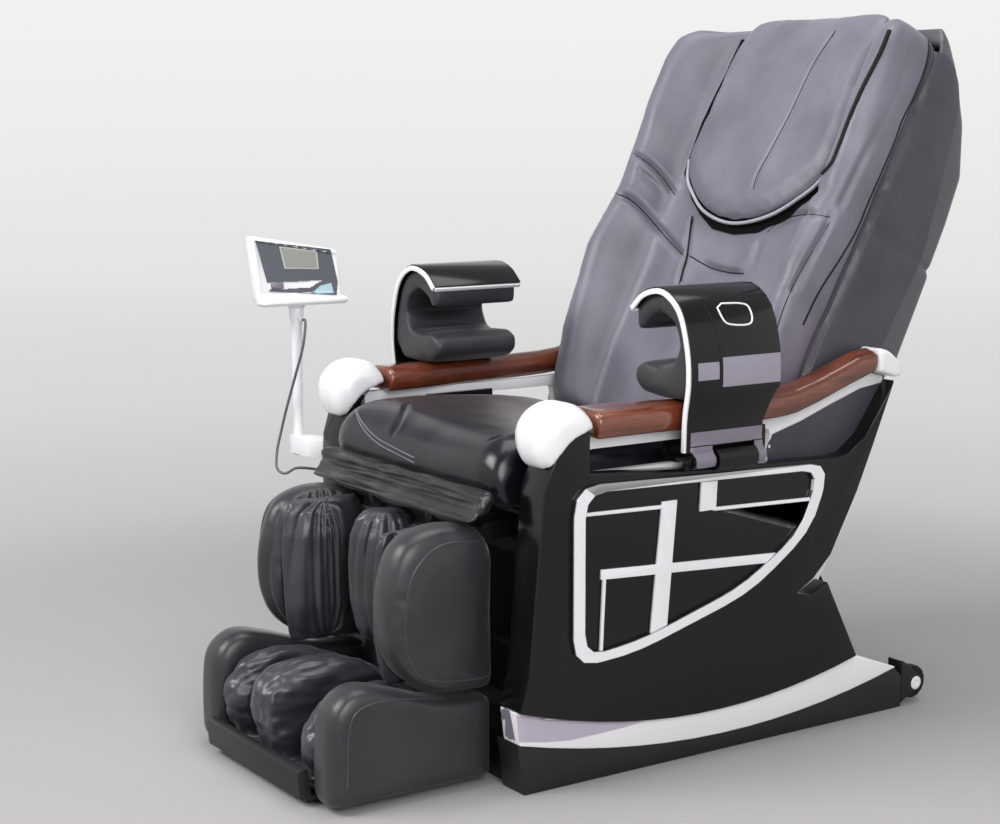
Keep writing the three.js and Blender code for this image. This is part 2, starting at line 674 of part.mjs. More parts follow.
const rearLine = [[18, 56], [40, shellRear], [200, shellRear + 3], [300, shellRear + 28], [notchAt - 5, shellRear + 15],
  [notchAt - 4, shellRear + 6], [notchAt + 4, shellRear + 5], [notchAt + 5, shellRear + 11], [551, shellRear + 8],
  [636, shellRear - 1], [717, 27], [788, -32], [828, -72], [backTop - 12, -90]];

function backShell() {
  const outer = loft(rearLine.map(([s, rear]) => {
    const groove = Math.abs(s - notchAt) < 4.5 ? 5 : 0;
    return shellRing(s, rear, padRear + GAP, widthAt(s) - groove - (s > 810 ? (s - 810) * 0.5 : 0), 34);
  }));
  const inner = loft([[-40, 34], ...rearLine.slice(1, 4), [notchAt, shellRear + 9], [551, shellRear + 5],
    [636, shellRear - 5], [717, 23], [782, -32], [812, -64]].map(([s, rear]) => shellRing(s, rear - shellThick - 4,
    padRear - 40, widthAt(s) - shellThick - 5, 30)));
  return cut(outer, inner);
}

const middleFull = 0.95;

// The front pad: a thin middle that lies over the rollers, between two high bolsters.
function backPad() {
  const stations = [[40, 0.42, 0.9], [52, 0.6, 0.96], [95, 0.72, 0.99], [175, 0.86, 1], [253, 0.94, 1], [350, 1.03, 1],
    [474, 0.92, 1], [556, 0.95, 1], [640, 1.02, 1], [740, 1.02, 1], [793, 0.95, 0.98], [822, 0.78, 0.94],
    [838, 0.55, 0.87], [backTop - 8, 0.28, 0.78]];
  const deep = padRear - padFront;
  const rings = stations.map(([s, full, wide]) => {
    const half = widthAt(s) * wide + 2;
    const front = (share) => padRear - deep * share * (share < 0.25 ? Math.min(full, middleFull) : full);
    const right = [[1, 0], [1.004, 0.3], [0.99, 0.66], [0.965, 0.93], [0.915, 1.03], [0.85, 0.94], [0.77, 0.6],
      [0.71, 0.27], [0.675, padCrown + 0.01], [0, padCrown]];
    const points = [...right.map(([x, share]) => [x * half, front(share)]),
      ...right.slice(0, -1).reverse().map(([x, share]) => [-x * half, front(share)])];
    const crownUp = (x) => (s > 788 ? (s - 788) * 0.6 * (1 - (x / half) ** 2) : 0);
    return points.map(([x, t]) => new THREE.Vector3(x, t, s + crownUp(x)));
  });
  return loft(rings);
}

// Shield-shaped head pillow that hangs on the pad from its top edge.
function headPillow() {
  const wide = backHalf - 96;
  const outline = rounded([[-wide + 12, 838, 30], [wide - 12, 838, 30], [wide, 640, 60], [wide - 3, 545, 30],
    [wide - 46, 498, 50], [wide - 108, 456, 50], [0, 436, 60], [108 - wide, 456, 50], [46 - wide, 498, 50],
    [3 - wide, 545, 30], [-wide, 640, 60]], 2);
  const rear = padRear - (padRear - padFront) * (padCrown + 0.01) * middleFull - GAP;
  return pad('y', outline, rear - 28, rear, 13, 2);
}

const screwEnd = frameTop - 22;
function backFrame() {
  const channel = prism('z', [[-railHalf, -10], [-railHalf, 48], [railHalf, 48], [railHalf, -10], [railHalf - 4, -10],
    [railHalf - 4, 44], [4 - railHalf, 44], [4 - railHalf, -10]], 30, frameTop);
  const shaft = rod('x', shaftRadius, -plateOffset - 12, plateOffset + 12, [0, 0, 0], 14);
  const arm = prism('x', [[-12, -8], [16, -16], [48, 30], [48, 60], [-10, 60], [-10, 30]], 150, 158);
  const armOut = prism('x', [[20, 30], [48, 30], [48, 60], [20, 60]], 156, railHalf);
  const lever = prism('x', [...circle(0, -leverLength, 12, 10).filter(([, s]) => s < -leverLength + 4),
    [15, 6], [-15, 6]].sort((a, b) => Math.atan2(a[1] + 40, a[0]) - Math.atan2(b[1] + 40, b[0])), 10, 16);
  const leverPin = rod('x', 6, -15, 15, [0, 0, -leverLength], 12);
  const bearing = (s) => block(-16, 16, 6, 46, s, s + 10);
  const screwHole = (s) => rod('z', 8 + RUN, s - 1, s + 11, [0, 20, 0], 12);
  const shellTie = (s, rear) => block(-60, 60, 47, rear - shellThick - 4 - GAP, s, s + 30);
  return join(channel, shaft, arm, mirrored(arm), armOut, mirrored(armOut), lever, mirrored(lever), leverPin,
    cut(bearing(60), screwHole(60)), cut(bearing(screwEnd), screwHole(screwEnd)),
    shellTie(170, shellRear + 2.4), shellTie(521, shellRear + 5));
}

function leadScrew() {
  return turned('z', [[0, 58], [8, 58], [8, 74], [7, 76], [7, screwEnd - 6], [8, screwEnd - 4],
    [8, screwEnd + 12], [0, screwEnd + 12]], [0, 20, 0], 12);
}

const rollerT = -58;
const rollerSpread = 46;
function carriage() {
  const body = pad('z', rounded([[-90, -20, 8], [90, -20, 8], [90, 38, 8], [-90, 38, 8]], 1),
    carriageAt - 62, carriageAt + 62, 6, 1);
  const runner = block(-railHalf + 4 + RUN, railHalf - 4 - RUN, 24, 40, carriageAt - 30, carriageAt + 30);
  const screwWay = rod('z', 7 + RUN, carriageAt - 70, carriageAt + 70, [0, 20, 0], 12);
  const arm = (x) => (sign) => {
    const root = carriageAt + sign * 16;
    const axle = carriageAt + sign * rollerSpread;
    return prism('x', [[-16, root - 15], [-16, root + 15], [rollerT + 6, axle + 14], [rollerT - 8, axle + 11],
      [rollerT - 14, axle], [rollerT - 8, axle - 11], [rollerT + 6, axle - 14]], x - 4, x + 4,
    [circle(rollerT, axle, 4 + RUN, 10)]);
  };
  const arms = [-30, 30].flatMap((x) => [-1, 1].map(arm(x)));
  return join(cut(join(body, runner), screwWay), ...arms);
}

function rollerPair(s) {
  const ball = [[10, -18], [24, -16], [32, -6], [32, 6], [24, 16], [10, 18]];
  const centre = 64;
  return turned('x', [[0, -centre - 24], [4, -centre - 24], [4, -centre - 18], ...ball.map(([r, h]) => [r, h - centre]),
    [4, 18 - centre], [4, centre - 18], ...ball.map(([r, h]) => [r, h + centre]), [4, centre + 18],
    [4, centre + 24], [0, centre + 24]], [0, rollerT, s], 12);
}

function buildBack() {
  place('back_frame', backFrame(), steel, back);
  place('back_shell', backShell(), blackSatin, back);
  place('back_pad', backPad(), backLeather, back);
  place('head_pillow', headPillow(), backLeather, back);
  place('lead_screw', leadScrew(), brushedMetal, back);
  place('massage_carriage', carriage(), greyPlastic, back);
  place('roller_pair_lower', rollerPair(carriageAt - rollerSpread), whiteGloss, back);
  place('roller_pair_upper', rollerPair(carriageAt + rollerSpread), whiteGloss, back);
}

// ---------- legrest ----------
const calfOutline = rounded([[legRear, 152, 14], [-500, 156, 40], [-567, 184, 40], [-600, 240, 50], [-604, 330, 60],
  [-580, 405, 50], [-522, 426, 40], [legRear - 30, 420, 30], [legRear, 380, 20]], 3);
const footOutline = rounded([[-414, floorClear, 6], [-706, floorClear, 20], [-707, 100, 30], [-701, 168, 40],
  [-656, 198, 40], [-600, 183, 50], [-500, 147, 50], [-414, 143, 10]], 3);
const slideX = legInner - 36;
const slideY = -411;

function legFrame() {
  const tube = rod('x', hingeRadius, -legInner + 2, legInner - 2, [0, liftY, liftZ], 14);
  const plate = cut(block(-legInner + GAP, legInner - GAP, -424, -418, 100, 404), block(80, 102, -430, -410, 388, 410),
    block(-102, -80, -430, -410, 388, 410), block(-9, 9, -430, -410, 340, 410));
  const tip = legLeverEnd(0);
  const lever = prism('x', [[liftY - 8, liftZ - 7], [liftY + 8, liftZ + 5], [tip.y + 10, tip.z + 5], [tip.y + 9, tip.z - 8],
    [tip.y - 3, tip.z - 11]], 10, 16);
  const pin = rod('x', 6, -15, 15, [0, tip.y, tip.z], 12);
  const eye = (z) => cut(block(slideX - 12, slideX + 12, -420, -401, z, z + 24),
    rod('z', 6.5 + RUN, z - 1, z + 25, [slideX, slideY, 0], 12));
  return join(plate, tube, lever, mirrored(lever), pin, eye(110), eye(250), mirrored(eye(110)),
    mirrored(eye(250)));
}

// Air bags with upright pleats on the face that meets the calf.
function calfBag() {
  const rings = [[168, 0.5, 0.72], [186, 0.8, 0.86], [230, 1, 0.97], [290, 1, 1], [350, 1, 0.98], [390, 0.8, 0.88],
    [408, 0.45, 0.7]].map(([z, full, deep]) => {
    const front = -516 - 72 * deep;
    const rear = calfSheetFront - GAP;
    const points = [[legInner - GAP, rear], [legInner - GAP, front + 12 * full]];
    const pleats = 4;
    const steps = pleats * 4;
    for (let i = 0; i <= steps; i += 1) {
      const part = i / steps;
      const puff = Math.sqrt(Math.sin(Math.PI * Math.min(0.97, Math.max(0.03, part))));
      const pleat = 0.86 + 0.14 * Math.abs(Math.sin(Math.PI * pleats * part));
      points.push([legInner - GAP - (legInner - bagInner) * full * puff * pleat, front + (rear - front) * part]);
    }
    return points.map(([x, y]) => new THREE.Vector3(x, y, z));
  });
  return loft(rings);
}

// Back pad behind the calves with the pleated lobe between them.
function calfCentre() {
  const sheet = pad('y', rounded([[-legInner + 1, 162, 12], [legInner - 1, 162, 12], [legInner - 1, 388, 12],
    [-legInner + 1, 388, 12]], 2), calfSheetFront, -424 - GAP, 5, 2);
  const rings = [[196, 0.55], [214, 0.8], [260, 1], [320, 1.04], [370, 1], [398, 0.8], [410, 0.55]].map(([z, full]) =>
    Array.from({ length: 18 }, (_, i) => {
      const turn = (2 * Math.PI * i) / 18;
      const pleat = 1 + 0.05 * Math.cos(6 * turn);
      return new THREE.Vector3(44 * full * pleat * Math.cos(turn), -482 + 50 * full * pleat * Math.sin(turn), z);
    }));
  return join(sheet, loft(rings));
}

function footTray() {
  const inner = legInner - GAP;
  const floor = block(-inner, inner, -712, -416, floorClear, floorClear + 8);
  const lip = prism('x', rounded([[-722, floorClear + 4, 6], [-726, 58, 6], [-708, 62, 6], [-702, floorClear + 4]], 2),
    -inner, inner);
  const heel = block(-inner, inner, -420, -414, floorClear, 92);
  const lug = block(slideX - 12, slideX + 12, -417, -403, 20, 44);
  const slider = rod('z', 6.5, 30, 385, [slideX, slideY, 0], 12);
  const foot = rod('z', 13, 2, floorClear + 1, [inner - 22, -690, 0], 14);
  const pair = [lug, slider, foot];
  return join(floor, lip, heel, ...pair, ...pair.map(mirrored));
}

function footLiner() {
  const inner = legInner - GAP;
  const top = floorClear + 8 + GAP;
  const sole = pad('z', rounded([[-inner, -699, 6], [inner, -699, 6], [inner, -421, 6],
    [-inner, -421, 6]], 1), top, top + 12, 4, 1);
  const lobe = pad('x', rounded([[-690, 40, 30], [-708, 96, 40], [-676, 158, 40], [-600, 174, 60], [-500, 150, 40],
    [-430, 96, 30], [-430, 24, 6], [-670, 24, 6]], 2), legInner - 54, inner, 24, 2);
  const ridge = pad('x', rounded([[-706, 70, 20], [-720, 120, 34], [-690, 180, 40], [-620, 190, 50], [-530, 168, 40],
    [-450, 110, 30], [-440, 24, 6], [-690, 24, 6]], 2), -38, 38, 24, 2);
  return join(sole, lobe, mirrored(lobe), cut(ridge, block(-60, 60, -800, -701, 0, 63)));
}

function buildLegrest() {
  place('leg_frame', legFrame(), steel);
  placePair('calf_shell', pad('x', calfOutline, legInner, legHalf, 24, 2), legLeather);
  placePair('calf_bag', calfBag(), legLeather);
  place('calf_centre', calfCentre(), legLeather);
  place('foot_tray', footTray(), blackSatin);
  placePair('foot_shell', pad('x', footOutline, legInner, legHalf, 20, 2), legLeather);
  place('foot_liner', footLiner(), legLeather);
}

// ---------- arm cuffs, drawn for the left arm about the middle of the cuff ----------
const cuffPath = [[-146, 741], [-114, 766], [-66, 774], [-24, 748], [-1, 692], [5, 634], [-3, 578], [-5, 524]]
  .map(([away, z]) => [pivotX + away, z]);

function offsetLine(points, distance) {
  return points.map(([x, z], i) => {
    const before = points[Math.max(0, i - 1)];
    const after = points[Math.min(points.length - 1, i + 1)];
    const length = Math.hypot(after[0] - before[0], after[1] - before[1]);
    return [x + (distance * (after[1] - before[1])) / length, z - (distance * (after[0] - before[0])) / length];
  });
}

function cuffShell() {
  const line = smooth(cuffPath, 18);
  const outline = [...offsetLine(line, -cuffWall / 2), ...offsetLine(line, cuffWall / 2).reverse()];
  const wall = prism('y', outline, -cuffReach, cuffReach);
  const hole = circle(pivotX, pivotZ, pinRadius + RUN, 10);
  const knuckle = (y0, y1) => join(prism('y', circle(pivotX, pivotZ, 12, 12), y0, y1, [hole]),
    block(pivotX - 9, pivotX + 1, y0, y1, pivotZ + 8, pivotZ + 24));
  const window = block(pivotX - 30, pivotX + 20, -42, 42, pivotZ - 20, pivotZ + 22);
  const rearCorner = prism('x', [[95, 618], [84, 612], [62, 562], [62, 480], [95, 480]], pivotX - 60, pivotX + 40);
  return join(cut(wall, window, rearCorner), knuckle(-cuffReach + 6, -44), knuckle(44, 61));
}

function cuffPad() {
  const line = smooth(cuffPath, 18);
  const outer = offsetLine(line, cuffWall / 2 + GAP).filter(([, z]) => z > 612);
  const inner = [[-24, 603], [-76, 602], [-126, 606], [-147, 622], [-148, 645], [-124, 657], [-86, 650], [-50, 658],
    [-33, 690], [-46, 722], [-80, 738], [-114, 722], [-126, 704], [-140, 704]].map(([away, z]) => [pivotX + away, z]);
  return pad('y', [...outer, ...inner], -cuffReach + 4, cuffReach - 4, 5, 2);
}

function cuffSlider() {
  const inside = panelOuter - panelWall - GAP - shellWall - GAP;
  const flange = bend(block(inside - 8, inside, -70, 70, slotLow - 6, slotHigh + 6), leanIn);
  const tongue = bend(block(inside - 1, panelOuter - panelWall + 2, -64, 64, slotLow + 1, slotHigh - 1), leanIn);
  const outer = block(panelOuter - panelWall - GAP - 7, panelOuter + 4, -64, 64, slotLow + 9, slotHigh - 2);
  const plate = block(panelOuter + 2, panelOuter + 10, -82, 82, windowTop + 4, 553);
  const hub = join(rod('y', 18, -40, 40, [pivotX, 0, pivotZ], 14),
    block(panelOuter + 6, pivotX, -40, 40, pivotZ - 10, pivotZ + 10));
  const pin = rod('y', pinRadius, -cuffReach + 4, 63, [pivotX, 0, pivotZ], 10);
  const clearance = [[-cuffReach, -42], [42, cuffReach]].map(([y0, y1]) =>
    prism('y', circle(pivotX, pivotZ, 13.5, 12), y0, y1));
  return join(cut(join(flange, tongue, outer, plate), ...clearance), hub, pin);
}

function buildCuffs() {
  const parts = [['cuff_shell', cuffShell(), blackGloss], ['cuff_pad', cuffPad(), cuffLeather],
    ['cuff_slider', cuffSlider(), greyPlastic]];
  parts.forEach(([name, geometry, material]) => {
    place(`${name}_L`, geometry, material).position.y = cuffLeftY;
    place(`${name}_R`, mirrored(geometry), material).position.y = cuffRightY;
  });
}

// ---------- controller on its pole, at the sitter's right ----------
const headTurn = 85; // degrees, towards the sitter

function buildRemote() {
  const clampZ = 452;
  const side = -panelOuter + leanAt(clampZ + 16) - GAP;
  const clamp = prism('z', rounded([[side, poleY + 8, 3], [side, poleY + 44, 3], [side - 12, poleY + 44, 4],
    [poleX - 14, poleY + 14, 8], [poleX - 14, poleY - 14, 8], [side - 20, poleY - 12, 4]], 3), clampZ - 16, clampZ + 16);
  const post = turned('z', [[0, clampZ - 20], [poleRadius, clampZ - 20], [poleRadius - 1, clampZ + 60],
    [poleRadius, poleTop - 30], [poleRadius + 3, poleTop - 12], [poleRadius + 3, poleTop], [5, poleTop],
    [5, poleTop + 14], [0, poleTop + 14]], [poleX, poleY, 0], 14);
  const gland = rod('x', 4, poleRadius - 2, poleRadius + 12, [poleX, poleY, poleTop - 20], 12);
  place('remote_pole', join(clamp, post, gland), whiteGloss);

  const head = new THREE.Group();
  head.position.set(poleX, poleY, poleTop);
  head.rotation.z = toRadians(headTurn);
  chair.add(head);
  const [keyX, keyZ] = [-40, 42];
  const face = rounded([[-80, 10, 10], [-84, 131, 8], [84, 102, 10], [86, 10, 12]], 2);
  const shell = pad('y', face, -16, 16, 6, 2);
  const rim = pad('z', rounded([[-78, -28, 10], [98, -24, 16], [88, 8, 8], [-78, 8, 8]], 2), 6, 20, 5, 1);
  const screenRecess = prism('y', [[-74, 29], [-78, 123], [77, 95], [78, 27]], -40, -13.5);
  const socket = rod('z', 5.6, -1, 20, [0, 0, 0], 14);
  const neck = turned('z', [[0, GAP], [15, GAP], [17, 18], [0, 18]], [0, 0, 0], 18);
  const keyWell = block(keyX - 12, keyX + 12, -30, -8, keyZ - 6, keyZ + 6);
  const tiltBody = bend(join(cut(shell, screenRecess, keyWell), rim), (p) => {
    p.y += (p.z - 20) * 0.18;
  });
  place('handset', cut(join(tiltBody, neck), socket), whiteGloss, head);
  const keyGeometry = pad('y', rounded([[-11, -5, 3], [11, -5, 3], [11, 5, 3], [-11, 5, 3]], 1)
    .map(([x, z]) => [keyX + x, keyZ + z]), -18.5, -10.5, 1.5, 1);
  bend(keyGeometry, (p) => {
    p.y += (p.z - 20) * 0.18;
  });
  place('handset_key', keyGeometry, greyPlastic, head);
}

// The handset's cable, by hand: out of the gland, down beside the pole, round the clamp and into the side.
const cableRadius = 2.5;
const bootLength = 19.6;
const cableEndX = -panelOuter + leanAt(poleTop - 281) - 3 * GAP - bootLength;
const cablePoints = [
  [poleX + poleRadius + 12 + GAP, poleY, poleTop - 20], [poleX + 32, poleY, poleTop - 20],
  [poleX + 40, poleY - 8, poleTop - 60], [poleX + 22, poleY - 16, poleTop - 120],
  [poleX + 2, poleY - 24, poleTop - 180], [poleX - 10, poleY - 30, poleTop - 225],
  [poleX - 12, poleY - 38, poleTop - 262], [poleX + 4, poleY - 46, poleTop - 290],
  [poleX + 22, poleY - 40, poleTop - 296], [poleX + 34, poleY - 24, poleTop - 286],
  [poleX + 46, poleY + 12, poleTop - 290], [cableEndX - 8, poleY + 16, poleTop - 290],
  [cableEndX, poleY + 16, poleTop - 290],
];

function buildCable() {
  const end = cablePoints[cablePoints.length - 1];
  const path = new THREE.CatmullRomCurve3(cablePoints.map((p) => new THREE.Vector3(...p)), false, 'centripetal');
  const round = new THREE.Shape(circle(0, 0, cableRadius, 8).map(([u, v]) => new THREE.Vector2(u, v)));
  const tube = new THREE.ExtrudeGeometry(round, { steps: 34, bevelEnabled: false, extrudePath: path });
  place('remote_cable', outward(tube), rubber);
  const boot = turned('x', [[0, 0], [3.4, 0], [5, 12], [9, 16], [9, bootLength], [0, bootLength]], [0, 0, 0], 14);
  boot.translate(end[0] + GAP, end[1], end[2]);
  place('cable_boot', boot, rubber);
}

buildBase();
buildInlet();
buildWheels();
buildSides();
place('seat_cushion', seatCushion(), seatLeather);
place('seat_apron', seatApron(), legLeather);
buildBack();
buildLegrest();
buildCuffs();
buildRemote();
buildCable();

export default chair;
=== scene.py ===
# %% [markdown]
# A massage chair with a padded back, a hinged legrest, wooden armrests and forearm cuffs.
# Every hard piece comes from the chair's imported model, in metres, with +Z up and the sitter
# facing -Y. This file gives those pieces their finishes, and makes the upholstery on top.

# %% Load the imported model
import json
import math

import bmesh
import bpy
import numpy as np
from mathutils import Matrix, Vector, noise
from mathutils.bvhtree import BVHTree
from mathutils.geometry import delaunay_2d_cdt


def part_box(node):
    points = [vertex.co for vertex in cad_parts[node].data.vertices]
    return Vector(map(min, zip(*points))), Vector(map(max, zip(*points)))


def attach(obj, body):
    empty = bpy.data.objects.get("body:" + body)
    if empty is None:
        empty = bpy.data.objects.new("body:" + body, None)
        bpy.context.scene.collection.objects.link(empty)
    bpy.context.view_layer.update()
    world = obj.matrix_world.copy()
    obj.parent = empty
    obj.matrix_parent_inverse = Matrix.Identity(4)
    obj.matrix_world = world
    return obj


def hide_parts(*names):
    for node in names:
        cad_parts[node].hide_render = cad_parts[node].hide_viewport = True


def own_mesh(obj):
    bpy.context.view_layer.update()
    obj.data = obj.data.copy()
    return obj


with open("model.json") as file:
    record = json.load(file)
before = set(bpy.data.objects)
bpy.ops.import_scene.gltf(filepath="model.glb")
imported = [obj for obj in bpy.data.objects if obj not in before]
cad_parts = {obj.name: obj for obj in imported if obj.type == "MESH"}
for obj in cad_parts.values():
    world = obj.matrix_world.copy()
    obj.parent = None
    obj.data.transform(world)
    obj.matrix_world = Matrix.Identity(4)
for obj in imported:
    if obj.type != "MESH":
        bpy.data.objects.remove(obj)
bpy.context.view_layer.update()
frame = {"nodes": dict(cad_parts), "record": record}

# %% [markdown]
# The camera comes first, because the pieces are judged from where the photographer stood.
# It was found from the straight edges of the base: 3.3 m from the chair, 1.05 m above the
# floor and turned 56 degrees from the chair's front, through a long lens. With it known, a
# seam can be read off the photograph in pixels and dropped onto the piece that carries it.

# %% Camera
PHOTO_WIDTH = 1000  # pixels
PHOTO_MIDDLE = (500, 412)
FOCAL_PIXELS = 1926
lens = bpy.data.cameras.new("portrait_lens")
lens.sensor_width = 36
lens.lens = lens.sensor_width * FOCAL_PIXELS / PHOTO_WIDTH
camera = bpy.data.objects.new("portrait_camera", lens)
camera.location = (2.651, -2.037, 1.045)
camera.rotation_euler = (math.radians(90 - 8.8), 0, math.radians(56))
bpy.context.scene.collection.objects.link(camera)
bpy.context.scene.camera = camera
print("lens", round(lens.lens, 2), "mm")


def sight(u, v):
    """The direction from the camera through a pixel of the photograph."""
    across = (u - PHOTO_MIDDLE[0]) / FOCAL_PIXELS
    up = (PHOTO_MIDDLE[1] - v) / FOCAL_PIXELS
    return (camera.rotation_euler.to_matrix() @ Vector((across, up, -1))).normalized()


# %% [markdown]
# The handset's cable is a plain round one, 5 mm thick. It leaves a gland near the top of the
# pole, hangs beside the pole in one long loop, and goes back in through a rubber boot in the
# chair's side. A smooth curve through a few chosen points gives it the sag of a medium cord.

# %% Handset cable
POLE_X, POLE_Y, POLE_TOP = -0.420, -0.408, 0.700
CABLE = 0.005  # diameter


def through(points, steps):
    """A centripetal curve through the points."""
    knots = [Vector(p) for p in points]
    knots = [2 * knots[0] - knots[1], *knots, 2 * knots[-1] - knots[-2]]
    line = []
    for a, b, c, d in zip(knots, knots[1:], knots[2:], knots[3:]):
        t1 = (b - a).length ** 0.5
        t2 = t1 + (c - b).length ** 0.5
        t3 = t2 + (d - c).length ** 0.5
        for i in range(steps):
            t = t1 + (t2 - t1) * i / steps
            ab = a.lerp(b, t / t1)
            bc = b.lerp(c, (t - t1) / (t2 - t1))
            cd = c.lerp(d, (t - t2) / (t3 - t2))
            line.append(ab.lerp(bc, t / t2).lerp(bc.lerp(cd, (t - t1) / (t3 - t1)), (t - t1) / (t2 - t1)))
    return line + [knots[-2]]


boot_low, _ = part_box("cable_boot")
boot_x = boot_low.x - 0.0003
route = [
    (POLE_X + 0.0223, POLE_Y, POLE_TOP - 0.020),
    (POLE_X + 0.032, POLE_Y, POLE_TOP - 0.020),
    (POLE_X + 0.040, POLE_Y - 0.008, POLE_TOP - 0.060),
    (POLE_X + 0.022, POLE_Y - 0.016, POLE_TOP - 0.120),
    (POLE_X + 0.002, POLE_Y - 0.024, POLE_TOP - 0.180),
    (POLE_X - 0.010, POLE_Y - 0.030, POLE_TOP - 0.225),
    (POLE_X - 0.012, POLE_Y - 0.038, POLE_TOP - 0.262),
    (POLE_X + 0.004, POLE_Y - 0.046, POLE_TOP - 0.290),
    (POLE_X + 0.022, POLE_Y - 0.040, POLE_TOP - 0.296),
    (POLE_X + 0.034, POLE_Y - 0.024, POLE_TOP - 0.286),
    (POLE_X + 0.046, POLE_Y + 0.012, POLE_TOP - 0.290),
    (boot_x - 0.008, POLE_Y + 0.016, POLE_TOP - 0.290),
    (boot_x, POLE_Y + 0.016, POLE_TOP - 0.290),
]
cable_line = through(route, 6)
cable_length = sum((b - a).length for a, b in zip(cable_line, cable_line[1:]))
cable_curve = bpy.data.curves.new("handset_cable", "CURVE")
cable_curve.dimensions = "3D"
cable_curve.bevel_depth = CABLE / 2
cable_curve.bevel_resolution = 4
cable_curve.use_fill_caps = True
spline = cable_curve.splines.new("POLY")
spline.points.add(len(cable_line) - 1)
for point, spot in zip(spline.points, cable_line):
    point.co = (*spot, 1)
swept = bpy.data.objects.new("cable_sweep", cable_curve)
bpy.context.scene.collection.objects.link(swept)
bpy.context.view_layer.update()
cable_mesh = bpy.data.meshes.new_from_object(swept.evaluated_get(bpy.context.evaluated_depsgraph_get()))
bpy.data.objects.remove(swept)
cable = bpy.data.objects.new("handset_cable", cable_mesh)
bpy.context.scene.collection.objects.link(cable)
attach(cable, "base")
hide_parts("remote_cable")
print("cable length", round(cable_length, 3))

# %% [markdown]
# A few small helpers serve every finish. Colours are written as they look on a screen and
# turned to linear light once. A node is added with its settings and its links in one call.

# %% Helpers for materials


def linear(code):
    """An sRGB hex colour as linear light."""
    parts = [int(code[i : i + 2], 16) / 255 for i in (1, 3, 5)]
    return (*[p / 12.92 if p <= 0.04045 else ((p + 0.055) / 1.055) ** 2.4 for p in parts], 1)


def add(tree, kind, sockets=None, **settings):
    """Adds a node: settings are its properties, and a socket is given a value or a link."""
    made = tree.nodes.new(kind)
    for name, value in settings.items():
        setattr(made, name, value)
    for name, value in (sockets or {}).items():
        if isinstance(value, bpy.types.NodeSocket):
            tree.links.new(value, made.inputs[name])
        else:
            made.inputs[name].default_value = value
    return made


def new_finish(name, roughness, metallic=0.0, specular=0.5):
    material = bpy.data.materials.new(name)
    material.use_nodes = True
    tree = material.node_tree
    tree.nodes.clear()
    shader = add(tree, "ShaderNodeBsdfPrincipled", {
        "Roughness": roughness, "Metallic": metallic, "Specular IOR Level": specular})
    add(tree, "ShaderNodeOutputMaterial", {"Surface": shader.outputs[0]})
    where = add(tree, "ShaderNodeTexCoord").outputs["Object"]
    return material, tree, shader, where


def blend_colours(tree, factor, low, high, start=0.0, end=1.0):
    ramp = add(tree, "ShaderNodeValToRGB", {"Fac": factor})
    for stop, code, at in zip(ramp.color_ramp.elements, (low, high), (start, end)):
        stop.color = linear(code)
        stop.position = at
    return ramp


def multiplied(tree, one, other):
    """Two colours multiplied."""
    mix = add(tree, "ShaderNodeMix", {0: 1.0, 6: one, 7: other}, data_type="RGBA", blend_type="MULTIPLY")
    return mix.outputs[2]


def vary_roughness(tree, shader, value, low, high):
    """Lets a value between 0 and 1 move the roughness from low to high."""
    gloss = add(tree, "ShaderNodeMapRange", {"Value": value, "To Min": low, "To Max": high})
    tree.links.new(gloss.outputs["Result"], shader.inputs["Roughness"])


def embossed(tree, shader, height, depth, strength):
    """Bumps the surface by a height, depth metres deep."""
    bump = add(tree, "ShaderNodeBump", {"Height": height, "Distance": depth, "Strength": strength})
    tree.links.new(bump.outputs["Normal"], shader.inputs["Normal"])


# %% [markdown]
# Upholstery is PU-coated fabric, sold as synthetic leather. Its film is embossed with pores
# under a millimetre across, too fine for this view, so the grain is drawn at about two
# millimetres. Broad, slow noise adds the uneven gloss and the faint rub marks of a used cover.

# %% Synthetic leather


def synthetic_leather(name, deep, pale, roughness, grain=0.0022, relief=0.00025, specular=0.5):
    material, tree, shader, where = new_finish(name, roughness, specular=specular)
    cells = add(
        tree, "ShaderNodeTexVoronoi", {"Vector": where, "Scale": 1 / grain}, feature="DISTANCE_TO_EDGE")
    cloud = add(tree, "ShaderNodeTexNoise", {"Vector": where, "Scale": 9.0, "Detail": 4.0})
    tone = blend_colours(tree, cloud.outputs["Fac"], deep, pale, 0.32, 0.68)
    pores = add(tree, "ShaderNodeMapRange", {
        "Value": cells.outputs["Distance"], "From Max": 0.12, "To Min": 0.86, "To Max": 1.0})
    shade = multiplied(tree, tone.outputs["Color"], pores.outputs["Result"])
    tree.links.new(shade, shader.inputs["Base Color"])
    vary_roughness(tree, shader, cloud.outputs["Fac"], roughness - 0.07, roughness + 0.09)
    fine = add(tree, "ShaderNodeTexNoise", {"Vector": where, "Scale": 260.0, "Detail": 3.0})
    both = add(
        tree, "ShaderNodeMath", {0: cells.outputs["Distance"], 1: fine.outputs["Fac"]}, operation="ADD")
    embossed(tree, shader, both.outputs[0], relief, 0.55)
    shader.inputs["Sheen Weight"].default_value = 0.10
    shader.inputs["Sheen Roughness"].default_value = 0.4
    return material


back_hide = synthetic_leather("back_grey_violet_leather", "#66626F", "#787482", 0.42)
# Painted shade: the back's leather drawn darker, for the sides of the back that turn from the light and for
# the cheeks under the armrests.
side_shade_hide = synthetic_leather("side_painted_shade_leather", "#3C3943", "#4B4752", 0.42)
seat_hide = synthetic_leather("seat_black_leather", "#0E0C13", "#16131C", 0.22, specular=0.45)
apron_hide = synthetic_leather("apron_charcoal_leather", "#111114", "#1A1A1D", 0.28, specular=0.55)
leg_hide = synthetic_leather("legrest_charcoal_leather", "#2A2A2F", "#38383E", 0.32, specular=0.6)
shell_hide = synthetic_leather("legrest_wall_leather", "#28272B", "#323135", 0.34)
cuff_hide = synthetic_leather("cuff_lining_leather", "#29292D", "#36363B", 0.44)

